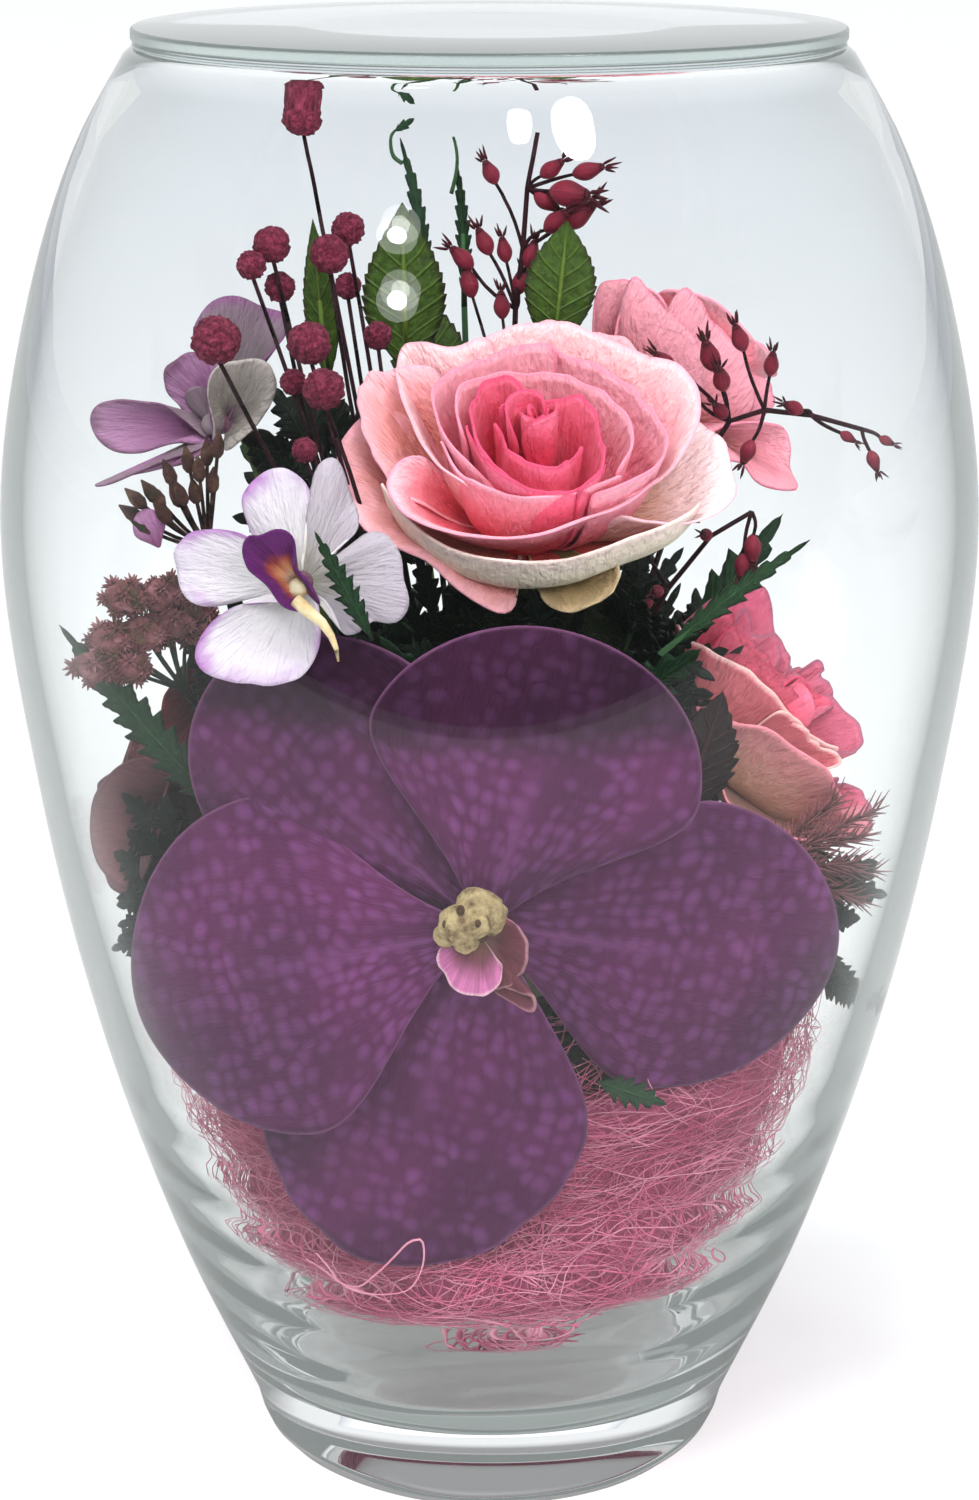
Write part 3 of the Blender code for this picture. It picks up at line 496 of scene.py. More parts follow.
def bent(first, last, sag, steps):
    """Points of a gently bowed line."""
    first, last, sag = Vector(first), Vector(last), Vector(sag)
    return [first.lerp(last, t) + sag * math.sin(math.pi * t) for t in evenly(0, 1, steps)]


def foam_end(point):
    """Where a straight stem from this point ends inside the foam."""
    point = Vector(point)
    line = (FOAM_FOCUS - point).normalized()
    if point.z > FOAM_TOP:
        entry = point + line * ((point.z - FOAM_TOP) / -line.z)
        if math.hypot(entry.x, entry.y) <= FOAM_RADIUS:
            return entry + line * STEM_DEPTH
    flat = line.x**2 + line.y**2
    toward = -(point.x * line.x + point.y * line.y)
    off = point.x**2 + point.y**2 - FOAM_RADIUS**2
    return point + line * ((toward - math.sqrt(toward**2 - flat * off)) / flat + STEM_DEPTH)


# Glass

def turned(name, profile, look, nodes, ripple=None):
    """A solid turned round the vase's axis from (radius, height) points, from its upper middle outwards."""
    bm = start()
    verts = [bm.verts.new((radius, 0, height)) for radius, height in profile]
    edges = [bm.edges.new(pair) for pair in zip(verts, verts[1:])]
    bmesh.ops.spin(bm, geom=verts + edges, cent=(0, 0, 0), axis=(0, 0, 1), angle=2 * math.pi,
                   steps=TURN_STEPS, use_merge=True)
    bmesh.ops.remove_doubles(bm, verts=bm.verts[:], dist=0.001)
    bmesh.ops.recalc_face_normals(bm, faces=bm.faces[:])
    if ripple:
        for vert in bm.verts:
            ripple(vert)
    piece = finish(name, bm, [look], nodes)
    piece.data.set_sharp_from_angle(angle=math.radians(40))
    return piece


def rippled(vert):
    """Move a point of the low inner wall along its soft ripples."""
    radius = math.hypot(vert.co.x, vert.co.y)
    if vert.co.z > RIPPLE_TOP or radius < FLOOR_FLAT + 2 or radius > vase_inside(max(vert.co.z, 16)) + 1:
        return
    turn = math.atan2(vert.co.y, vert.co.x)
    low = 1 - smooth((vert.co.z - 20) / 50)
    wander = 1.5 * math.sin(2 * turn) + 0.8 * math.sin(5 * turn)
    swell = RIPPLE_SWELL * low * math.sin(vert.co.z / 1.35 + wander)
    vert.co.x *= 1 + swell / radius
    vert.co.y *= 1 + swell / radius


def make_vase():
    """Blown glass: a thick floor with soft ripples low on its inner wall, and a fire-polished rim."""
    soft, low = VASE_RIM - RIM_SOFT, VASE_RIM - 0.15
    rim_in, rim_out = vase_inside(VASE_RIM), vase_outside(VASE_RIM)
    floor_turn = [(radius, VASE_FLOOR) for radius in evenly(0, FLOOR_FLAT, 3)] + [(25.5, 13.6), (29.0, 15.2)]
    inner = [(vase_inside(z), z) for z in evenly(18, soft, INNER_STEPS)]
    rim = [(rim_in + 0.3, low), (rim_in + RIM_SOFT, VASE_RIM), (rim_out - RIM_SOFT, VASE_RIM),
           (rim_out - 0.3, low)]
    outer = [(vase_outside(z), z) for z in evenly(soft, 8, OUTER_STEPS)]
    foot = [(33.4, 5.0), (32.3, 2.9), (30.6, 1.2), (28.9, 0.3), (BASE_FLAT, 0), (BASE_FLAT / 2, 0), (0, 0)]
    turned("vase_glass", floor_turn + inner + rim + outer + foot, GLASS, ["vase"], rippled)


def make_lid():
    """The flat glass disc with ground edges, and the line of clear sealant under it."""
    low, ease = LID_TOP - LID_THICK, 0.5
    corner = [(ease * math.sin(a), ease * math.cos(a)) for a in evenly(0, math.pi / 2, 4)]
    profile = [(0, LID_TOP), (LID_RADIUS / 2, LID_TOP)]
    profile += [(LID_RADIUS - ease + dx, LID_TOP - ease + dz) for dx, dz in corner]
    profile += [(LID_RADIUS - ease + dx, low + ease - dz) for dx, dz in reversed(corner)]
    profile += [(LID_RADIUS / 2, low), (0, low)]
    lid = turned("lid_glass", profile, LID_GLASS, ["lid"])
    lid.data.materials.append(EDGE_GLASS)
    for face in lid.data.polygons:
        if abs(face.normal.z) < 0.9:
            face.material_index = 1
    base = VASE_RIM + GAP
    top = base + SEAL_THICK
    inner, outer = SEAL_RADIUS - SEAL_WIDTH / 2, SEAL_RADIUS + SEAL_WIDTH / 2
    ring = [(inner, base), (inner, top), (outer, top), (outer, base), (inner, base)]
    turned("sealant_line", ring, SEALANT, ["seal_ring"])


# Orchids

def tepal_shape(length, half_width, claw=0.3, cup=0.0, arch=0.0, wave=0.0, turns=0.0):
    """A broad rounded petal on a narrow claw, with a slightly waved rim."""
    def shape(x, y):
        t = (y + 1) / 2
        width = half_width * (claw + (1 - claw) * smooth(t / 0.55))
        out = x * x + y * y
        rise = arch * 4 * t * (1 - t) - cup * x * x + wave * math.sin(5 * math.atan2(y,
                x) + turns) * out * out
        return Vector((x * width, t * length, rise))
    return shape


# Orchid hubs: radius, half depth, and how far the front tepals stand before the back ones
LARGE_HUB = (3.6, 2.6, 1.3)
SMALL_HUB = (1.9, 1.7, 0.8)


def smooth_row(points):
    """A smooth line through points, asked for from -1 to 1."""
    lengths = [0.0]
    for first, second in zip(points, points[1:]):
        lengths.append(lengths[-1] + (second - first).length)
    places = [2 * length / lengths[-1] - 1 for length in lengths]
    rows = [[(place, point[i]) for place, point in zip(places, points)] for i in range(3)]
    return lambda x: Vector(curve_through(row, x) for row in rows)


def rim_petal(rim, foot, reach, low, roll, ruffle, seed):
    """A petal that runs from a ring at the flower's heart, by way of its belly, to a given rim."""
    along_rim = smooth_row(rim)
    foot_radius, foot_height = foot

    def shape(x, y):
        t = (y + 1) / 2 * (1 - 0.05 * abs(noise.noise(Vector((8.0 * x, 0.3, 5.1 * seed)))))
        end = along_rim(x)
        flat = Vector((end.x, end.y, 0))
        out = flat.normalized()
        begin = out * foot_radius + Vector((0, 0, foot_height))
        belly = flat * reach + Vector((0, 0, foot_height + (end.z - foot_height) * low))
        point = begin * (1 - t)**2 + belly * 2 * t * (1 - t) + end * t * t
        lip = max(0.0, (t - 0.78) / 0.22)
        crease = noise.noise(Vector((2.0 * x, 1.1 * t, 7.3 * seed)))
        crease += 0.5 * noise.noise(Vector((6.0 * x, 2.2 * t, 3.1 * seed)))
        crease += 0.5 * abs(noise.noise(Vector((4.1 * x, 1.3 * t, 5.7 * seed))))
        rise = ruffle * crease * smooth(t / 0.6) * (1 + 0.8 * lip)
        point += out * (0.5 * rise + roll * lip**2) + Vector((0, 0, 0.85 * rise - 0.5 * roll * lip**3))
        return point
    return shape


def make_flower(name, node, placed, plane, petals, foot, looks, ruffle, thick=0.32):
    """Petals whose rims were read off the picture, on planes over a point, and grouped by their finish."""
    back = placed.inverted()
    groups = {}
    for number, (group, reach, low, roll, rim) in enumerate(petals):
        if group not in groups:
            groups[group] = start()
        points = [back @ picture_point(px, py, *plane, height) for px, py, height in rim]
        if sum(first.x * second.y - first.y * second.x for first, second in zip(points, points[1:])) > 0:
            points.reverse()
        spread = sum((second - first).length for first, second in zip(points, points[1:])) / 2
        length = max(point.length for point in points)
        sheet(groups[group], rim_petal(points, foot, reach, low, roll, ruffle, number + 1), 24, 12, placed,
              (spread, length), number + 1, False)
    for group, bm in groups.items():
        finish(f"{name}_{group}", bm, looks[group], [node], thick, 1)


def make_tepals(name, placed, tepals, hub, grid, looks, wave, thick):
    """The five tepals of one orchid, on a short hub."""
    hub_radius, hub_half, whorl = hub
    bm = start()
    for number, (tip, half_width, facing, level, cup, arch, claw) in enumerate(tepals):
        tip = Vector(tip)
        seen = placed.inverted() @ tip
        out = Vector((seen.x, seen.y, 0)).normalized()
        base = placed @ (out * hub_radius * 0.45 + Vector((0, 0, whorl * level)))
        length = (tip - base).length
        sheet(bm, tepal_shape(length, half_width, claw, cup, arch, wave, 1.7 * number), *grid,
              lay(base, tip, facing), (half_width, length), number + 1)
    finish(name + "_fine_tepals", bm, looks, [name + "_tepals"], thick, 1)
    bm = start()
    bmesh.ops.create_cone(bm, cap_ends=True, segments=16, radius1=hub_radius * 0.7, radius2=hub_radius * 0.8,
                          depth=1.7 * hub_half, matrix=placed)
    finish(name + "_hub", bm, [HUB_GREEN], [name + "_tepals"])


def lumpy(bm, radius, placed, scale, lump, cell, seed, subdivisions=4):
    """A ball with a rough surface, stretched along the frame's axes."""
    made = bmesh.ops.create_icosphere(bm, subdivisions=subdivisions, radius=radius)["verts"]
    for vert in made:
        near = noise.voronoi(vert.co / cell + Vector((seed, seed * 1.7, 0)))[0][0]
        vert.co *= 1 + lump * (0.5 - min(near, 1.0))
        vert.co = placed @ Vector(vert.co[i] * scale[i] for i in range(3))
    return made


# The large orchid's lip, in pixels and in millimetres in front of the vase's middle: the knobs of its column
# with their radius, its dark pits, and its lobes
VANDA_KNOBS = ((478, 908, 44.0, 3.1), (459, 922, 45.6, 2.7), (490, 914, 43.6, 2.3), (466, 936, 45.2, 1.8),
               (470, 898, 43.4, 1.7), (446, 932, 44.6, 1.6), (477, 922, 46.2, 1.7))
VANDA_PITS = ((461, 907, 47.4, 0.55), (446, 921, 47.0, 0.45), (478, 920, 47.8, 0.4), (482, 934, 46.6, 0.5))
VANDA_LOBES = (("pink", 0.7, 0.5, 0.3, ((456, 934, 43), (444, 944, 44), (439, 958, 45), (443, 972, 46),
                                        (454, 984, 46.6), (472, 990, 47), (486, 988, 47), (497, 978, 46.6),
                                        (500, 960, 45))), ("maroon", 0.7, 0.5, 0.3,
        ((484, 922, 43), (500, 914, 44), (514, 922, 44.6), (522, 938, 45), (521, 957, 45.4),
         (515, 972, 45.4), (505, 980, 45.6), (492, 979, 45.6), (484, 964, 45))),
               ("maroon", 0.6, 0.4, 0.2, ((494, 972, 44.6), (502, 983, 45.4), (512, 986, 46),
        (522, 988, 46.6), (532, 992, 47), (534, 1004, 47), (524, 1004, 46.6), (514, 998, 46),
        (498, 990, 45.2), (490, 978, 44.6))))


def make_vanda_lip(front):
    """The knobbly cream column over a curled pink lobe, a maroon one and a forked tip."""
    facing = FACING_CAMERA
    bm = start()
    for number, (px, py, height, radius) in enumerate(VANDA_KNOBS):
        lumpy(bm, radius, Matrix.Translation(spot(px, py, height)), (1, 0.9, 1), 0.3, radius * 0.7,
              number + 3, 3)
    finish("vanda_column", bm, [COLUMN_CREAM], ["vanda_lip"])
    bm = start()
    for px, py, height, radius in VANDA_PITS:
        lumpy(bm, radius, Matrix.Translation(spot(px, py, height)), (1, 1, 1.4), 0.2, 1.0, 2, 2)
    finish("vanda_column_pits", bm, [PIT_BROWN], ["vanda_lip"])
    looks = {"pink": [LOBE_PINK], "maroon": [LOBE_MAROON]}
    make_flower("vanda_lobes", "vanda_lip", front, facing, VANDA_LOBES, (0.8, 1.0), looks, 0.7,
                0.5)


def make_hub(name, placed, hub):
    """The short hub that an orchid's tepals stand on."""
    hub_radius, hub_half, _ = hub
    bm = start()
    bmesh.ops.create_cone(bm, cap_ends=True, segments=16, radius1=hub_radius * 0.7, radius2=hub_radius * 0.8,
                          depth=1.7 * hub_half, matrix=placed)
    finish(name + "_hub", bm, [HUB_GREEN], [name + "_tepals"])


# Small orchids, in pixels and in millimetres in front of the vase's middle: for each petal its finish,
# how far and how low its belly swings, its rolled lip, and its rim
WHITE_PETALS = (("back", 0.55, 0.3, 0.2, ((318, 562, 33), (311, 530, 32), (311, 500, 31), (315, 478, 30),
        (324, 461, 29.5), (334, 457, 29.5), (343, 470, 29.5), (352, 495, 30), (360, 517, 30), (357, 532, 31),
        (342, 545, 32), (325, 572, 33))), ("back", 0.55, 0.35, 0.3, ((322, 575, 33), (345, 556, 31.5),
        (371, 532, 31), (386, 536, 31), (397, 550, 31), (398, 570, 31), (405, 592, 31.5), (402, 613, 32),
        (386, 622, 32.5), (370, 617, 33), (352, 633, 33.5), (342, 628, 34), (332, 606, 34), (318, 592, 34))),
                ("face", 0.55, 0.3, 0.3, ((278, 570, 34), (259, 545, 32.5), (249, 520, 31.5), (247, 500, 31),
        (255, 482, 31), (272, 472, 31), (290, 472, 31), (303, 481, 31), (312, 494, 31), (310, 520, 32),
        (304, 560, 34))), ("face", 0.55, 0.3, 0.3, ((282, 592, 35), (250, 598, 34.5), (225, 605, 34),
        (206, 604, 33.5), (189, 592, 33), (179, 575, 33), (177, 556, 33), (186, 540, 33), (205, 532, 33.5),
        (232, 531, 34), (252, 540, 34.5), (275, 566, 35))),
                ("face", 0.55, 0.3, 0.4, ((318, 600, 36), (320, 622, 37), (318, 645, 38), (308, 667, 38.5),
        (288, 679, 39), (264, 684, 39), (238, 681, 38.5), (214, 672, 38), (200, 658, 37.5), (201, 643, 37),
        (209, 628, 37), (226, 612, 36.5), (252, 604, 36), (288, 600, 36))))
WHITE_LIP = (("lip", 0.5, 0.6, 0.0, ((308, 612, 40), (288, 606, 41), (270, 583, 41.5), (250, 567, 41),
                                     (244, 548, 41), (250, 534, 41), (263, 537, 42), (274, 527, 42),
                                     (290, 529, 42), (297, 544, 41.5), (294, 563, 41), (310, 582, 40),
                                     (322, 604, 40))),)
WHITE_SPUR = ((298, 600, 40), (312, 612, 41), (324, 622, 41.8), (333, 635, 42), (338, 648, 41.8),
              (340, 660, 41.4))
LAVENDER_PETALS = (("back", 0.55, 0.3, 0.2, ((214, 430, -2), (199, 362, -6), (192, 343, -7), (196, 322, -8),
        (206, 307, -8), (225, 297, -8), (243, 300, -8), (258, 309, -8), (284, 311, -7), (287, 326, -6),
        (277, 346, -5), (262, 364, -4), (225, 425, -2))),
                   ("face", 0.55, 0.3, 0.2, ((208, 432, -2), (184, 414, -3), (168, 396, -4), (165, 379, -4),
        (176, 366, -4), (195, 358, -4), (214, 362, -4), (224, 376, -3), (214, 425, -2))),
                   ("face", 0.5, 0.3, 0.4, ((204, 446, 0), (168, 444, 1), (136, 454, 1), (110, 449, 1),
        (93, 438, 1), (88, 424, 1), (93, 411, 1), (106, 404, 1), (126, 402, 1), (146, 405, 1), (162, 406, 1),
        (180, 419, 0), (204, 438, 0))), ("pale", 0.7, 0.3, 1.0, ((212, 440, 0), (203, 410, 3), (203, 390, 4),
        (212, 376, 4), (233, 368, 4), (253, 362, 4), (264, 371, 4), (271, 386, 3), (266, 404, 2),
        (254, 421, 1), (238, 436, 0), (222, 448, -1))),
                   ("face", 0.5, 0.4, 0.2, ((205, 447, 0), (185, 456, 2), (162, 463, 3), (134, 474, 4),
        (104, 486, 5), (90, 487, 5), (112, 480, 4), (150, 471, 3), (190, 460, 1), (208, 450, 0))))


def make_small_lips(white_front, lavender_front):
    """The white orchid's two dark lobes, striped throat and pointed spur, and the other's withered lip."""
    facing = FACING_CAMERA
    make_flower("white_orchid_lip", "white_orchid_lip", white_front, facing, WHITE_LIP, (0.8, 0.4),
                {"lip": [LIP_LOOK]}, 0.5)
    bm = start()
    spur = [picture_point(px, py, *facing, height) for px, py, height in WHITE_SPUR]
    tube(bm, spur, 0.95, 10, 0.14)
    lumpy(bm, 1.3, white_front @ Matrix.Translation((0, 0.1, 1.6)), (1, 1, 0.9), 0.15, 0.8, 4, 3)
    finish("white_orchid_spur", bm, [SPUR_CREAM], ["white_orchid_lip"])
    bm = start()
    sheet(bm, tepal_shape(6.0, 2.0, claw=0.6, cup=1.2), 8, 8, lay(lavender_front @ Vector((0, 0, 0.6)),
            lavender_front @ Vector((0.6, -4.6, 4.2)), (-0.3, -0.9, 0.3)), (2, 6), 3)
    lumpy(bm, 1.4, lavender_front @ Matrix.Translation((0, 0.2, 1.0)), (1, 1, 0.9), 0.15, 0.8, 4, 3)
    finish("lavender_orchid_lip_blade", bm, [LAVENDER_BACK], ["lavender_orchid_lip"], 0.3, 1)


def make_orchids():
    """The large purple orchid and the two small ones, on the same frames as their solids."""
    vanda = (((-46.4, -24.5, 75.2), 22.6, (-0.38, -0.9, 0.12), 1, 1.5, 2.5, 0.3),
             ((11.5, -41, 128.0), 21.8, (0.05, -1, -0.1), 1, 3.5, 1.5, 0.3),
             ((-35.7, -26, 118.5), 20.0, (-0.35, -0.9, 0), -1, 3.0, 1.5, 0.3),
             ((45.2, -24, 78.2), 20.8, (0.42, -0.9, -0.12), -1, 3.0, 2.5, 0.36),
             ((-15.0, -35.6, 41.4), 22.0, (-0.12, -1, -0.12), -2.2, 5.0, 1.0, 0.52))
    placed = aim((-1.2, -39.5, 89.5), (0.02, -1, -0.05), (-0.67, 0, 0.74))
    make_tepals("vanda", placed, vanda, LARGE_HUB, (18, 18), [PURPLE, PURPLE_BACK, PURPLE_RIM],
                0.35, 0.45)
    make_vanda_lip(placed @ Matrix.Translation((0, 0, LARGE_HUB[1] + GAP)))
    facing = FACING_CAMERA
    white = aim((-23.5, -34.5, 133.2), (-0.1, -1, 0.05), (0.62, 0, -0.78))
    make_flower("white_orchid", "white_orchid_tepals", white, facing, WHITE_PETALS, (0.9, 0.0),
                {"face": [WHITE, WHITE_BACK, WHITE], "back": [WHITE_SHADED, WHITE_BACK, WHITE_SHADED]},
                0.9)
    make_hub("white_orchid", white, SMALL_HUB)
    lavender = aim((-36.3, 3.5, 146.1), (-0.45, -0.85, 0.2), (0.3, 0, -0.95))
    make_flower("lavender_orchid", "lavender_orchid_tepals", lavender, facing, LAVENDER_PETALS, (0.9, 0.0),
                {"face": [LAVENDER, LAVENDER_BACK, LAVENDER], "back": [LAVENDER_GREY, LAVENDER_BACK,
            LAVENDER_GREY], "pale": [LAVENDER_PALE, LAVENDER, LAVENDER_PALE]}, 0.8)
    make_hub("lavender_orchid", lavender, SMALL_HUB)
    forward = Matrix.Translation((0, 0, SMALL_HUB[1] + GAP))
    make_small_lips(white @ forward, lavender @ forward)


# Roses. Petals, layer by layer from the heart out: where the foot leaves the heart, how far the rim
# reaches, height, start, half angle in degrees, flare, inward pinch, rolled rim and drop of the rim

BUD = (2.4, 4.6, 14.5, 9.0, 62, 0.8, 1.4, 0.0, 0.0)
CUP = (3.2, 9.2, 16.0, 7.4, 47, 0.9, 1.2, 0.4, 0.3)
FOLD = (4.2, 14.2, 16.0, 5.9, 37, 1.0, 0.0, 1.2, 1.2)
SKIRT = (5.6, 22.0, 13.0, 2.9, 37, 1.1, 0.0, 2.5, 3.6)
FULL_RING = {CUP: 4, FOLD: 5, SKIRT: 5}
LAYER_FINISH = {BUD: "heart", CUP: "inner", FOLD: "fold", SKIRT: "outer"}
ROSE_REACH = 24.5
BROADER = 1.38
HEART = ((0.5, 1.3, 12.5, 8.4, 95, 0.8, 0.5, 0.0, 0.0), (0.9, 2.2, 13.2, 8.6, 80, 0.8, 0.7, 0.1, 0.0),
         (1.6, 3.2, 13.9, 8.8, 70, 0.8, 0.9, 0.2, 0.0))


def rose_petal(layer, turn, slip, widen, draw, frill=0.0):
    """The shape of one petal, on polar lines round the rose's axis."""
    foot, reach, height, first, wrap, flare, pinch, roll, drop = layer
    half_angle = math.radians(wrap) * widen * BROADER
    point = draw.uniform(0.4, 1.4)

    def shape(x, y):
        t = (y + 1) / 2
        rim = max(0.0, (t - 0.6) / 0.4)
        lip = max(0.0, (t - 0.82) / 0.18)
        angle = turn + x * half_angle * (0.42 + 0.58 * smooth(t / 0.6))
        radius = foot + (reach - foot) * t**flare - pinch * t**4 + roll * rim**2
        radius += 1.3 * slip * x * smooth(t / 0.4)
        wave = 0.5 * math.sin(2.6 * x + 5 * turn) + 0.25 * math.sin(5.3 * x + 9 * turn)
        ruffle = frill * math.sin(7 * x + 3 * turn) * rim
        z = first + height * (1 - (1 - t)**1.35) - drop * rim**2 + point * rim * (1 - x * x) + ruffle
        radius += 0.6 * ruffle + wave * t + 0.5 * roll * lip**2 + 0.3 * roll * abs(x)**5
        z -= 0.35 * roll * lip**3 - 0.6 * wave * rim
        return Vector((radius * math.cos(angle), radius * math.sin(angle), z))
    return shape


def make_rose(name, base, axis, size, layers, seed, looks, slot, frill):
    """A rose's petals in their layers, closing in on a wrapped heart."""
    draw = random.Random(seed)
    scale = size / ROSE_REACH
    steady = aim(base, axis, (0.2, 0.9, 0.3))
    placed = steady @ Matrix.Scale(scale, 4)
    number = 0
    for k, (count, layer) in enumerate(layers):
        full = FULL_RING.get(layer, count)
        bm = start()
        for i in range(count):
            turn = 2 * math.pi * (i + 0.5 * (k % 2)) / count + draw.uniform(-0.06, 0.06) + 0.7 * k
            slip = 0.7 if layer is BUD else 1.0
            number += 1
            shape = rose_petal(layer, turn, slip, full / count, draw, frill * k / len(layers))
            sheet(bm, shape, 10, 10, placed, (layer[1] * math.radians(layer[4]), layer[2]), number)
        finish(f"{name}_layer_{k + 1}", bm, looks[LAYER_FINISH[layer]], [name + "_petals"], 0.32, 1)
    if layers and layers[0][1] is not BUD:
        return
    bm = start()
    for k, layer in enumerate(HEART):
        for i in range(2):
            turn = math.pi * i + 1.3 * k
            number += 50
            sheet(bm, rose_petal(layer, turn, 0.5, 1.0, draw), 10, 8, placed, (layer[1] * 1.4, layer[2]),
                  number)
    finish(name + "_spiral", bm, looks["heart"], [name + "_petals"], 0.32, 1)


# The roses' petals as they show in the picture. In front, the third number is the height over the rose's
# foot, along its axis; to the right and behind, it is the distance in front of the vase's middle.
FRONT_ROSE = ((4.8, -5.5, 132.0), (0, -0.57, 0.82), 27.3)
FRONT_PETALS = (("outer", 0.62, 0.2, 0.8, ((425, 402, 12), (390, 412, 12.5), (358, 428, 13), (338, 452, 13),
        (350, 485, 12), (357, 508, 11), (372, 530, 10.5), (405, 547, 9.5), (436, 560, 8.5), (456, 582, 7),
        (482, 600, 5), (508, 613, 4), (519, 600, 4), (512, 580, 5))),
                ("outer", 0.66, 0.2, 1.0, ((440, 372, 17), (404, 378, 16.5), (372, 379, 16),
        (368, 396, 15.5), (371, 425, 15), (379, 452, 14.5), (396, 480, 14), (420, 500, 14))),
                ("blush", 0.7, 0.1, 0.9, ((640, 405, 15), (680, 413, 14.5), (701, 425, 14), (716, 445, 13.5),
        (728, 472, 13), (727, 496, 12.5), (708, 514, 12.5), (680, 521, 13), (650, 518, 14),
        (618, 510, 15.5))), ("outer", 0.8, 0.16, 0.5, ((470, 350, 15), (520, 332, 16), (580, 330, 16),
        (640, 360, 15.5), (672, 396, 15))), ("cream", 1.2, 0.0, 1.2, ((390, 478, 15), (405, 502, 14.5),
        (430, 525, 14), (468, 544, 14), (520, 552, 14.5), (572, 547, 14.5), (624, 531, 14), (672, 515, 13.5),
        (690, 498, 13))), ("olive", 0.92, 0.2, 0.4, ((530, 560, 5), (545, 603, 3), (565, 612, 3),
        (590, 604, 4), (613, 588, 6), (618, 560, 8))),
                ("cup", 0.85, 0.12, 1.6, ((496, 343, 20), (462, 347, 19.5), (430, 350, 19), (409, 346, 18.5),
        (402, 356, 18), (404, 378, 18), (414, 405, 18.5), (430, 436, 19), (450, 460, 19.5), (474, 474, 20))),
                ("cup", 0.9, 0.1, 1.8, ((478, 350, 19.5), (500, 335, 20), (532, 323, 20.5), (566, 322, 20.5),
                                        (600, 332, 20.5), (636, 357, 20.5), (666, 377, 20), (682, 398, 19.5),
                                        (681, 425, 19), (668, 452, 18.5), (644, 476, 18), (612, 490, 18))),
                ("fold", 0.74, 0.3, 1.3, ((430, 452, 18.5), (402, 463, 18), (394, 478, 18), (401, 498, 18),
        (424, 514, 18), (460, 524, 18), (500, 528, 18), (542, 525, 18.5), (580, 510, 19), (622, 494, 19.5),
        (656, 470, 20))), ("fold", 0.92, 0.05, 0.8, ((446, 436, 21), (458, 462, 20.8), (484, 479, 20.8),
        (520, 490, 21), (560, 489, 21), (596, 479, 21), (618, 470, 21))),
                ("inner", 0.95, 0.05, 0.5, ((500, 486, 20.5), (462, 450, 21), (442, 418, 21.5),
        (436, 392, 22), (446, 373, 22), (476, 362, 22), (516, 355, 22), (556, 360, 22))),
                ("inner", 0.95, 0.05, 0.5, ((540, 352, 21.5), (580, 364, 21.5), (622, 386, 21.5),
        (654, 412, 21.3), (664, 440, 21), (652, 464, 20.8), (624, 480, 20.8), (590, 489, 21))),
                ("inner", 0.95, 0.05, 0.4, ((468, 438, 22), (462, 408, 22.5), (472, 384, 23), (506, 370, 23),
        (550, 372, 23), (590, 386, 23), (620, 410, 22.7), (630, 440, 22.3), (616, 466, 22))),
                ("heart", 0.95, 0.1, 0.3, ((512, 478, 22.5), (488, 452, 23), (477, 418, 23.8),
        (480, 388, 24.3), (500, 379, 24.5), (524, 392, 24.8), (532, 402, 25))),
                ("heart", 0.95, 0.1, 0.3, ((506, 412, 24.4), (532, 400, 24.6), (564, 399, 24.5),
        (588, 412, 24), (601, 440, 23.4), (597, 468, 22.8), (578, 486, 22.4))),
                ("heart", 0.95, 0.1, 0.4, ((472, 424, 22.4), (486, 456, 22.2), (512, 478, 22.2),
        (548, 487, 22.3), (584, 480, 22.3), (606, 456, 22.4))),
                ("heart", 0.95, 0.1, 0.3, ((498, 422, 23.6), (508, 446, 23.6), (534, 461, 23.7),
        (564, 460, 23.7), (582, 442, 23.7))))
RIGHT_ROSE = ((29.5, 1.0, 97.5), (0.74, -0.22, 0.63), 20.5)
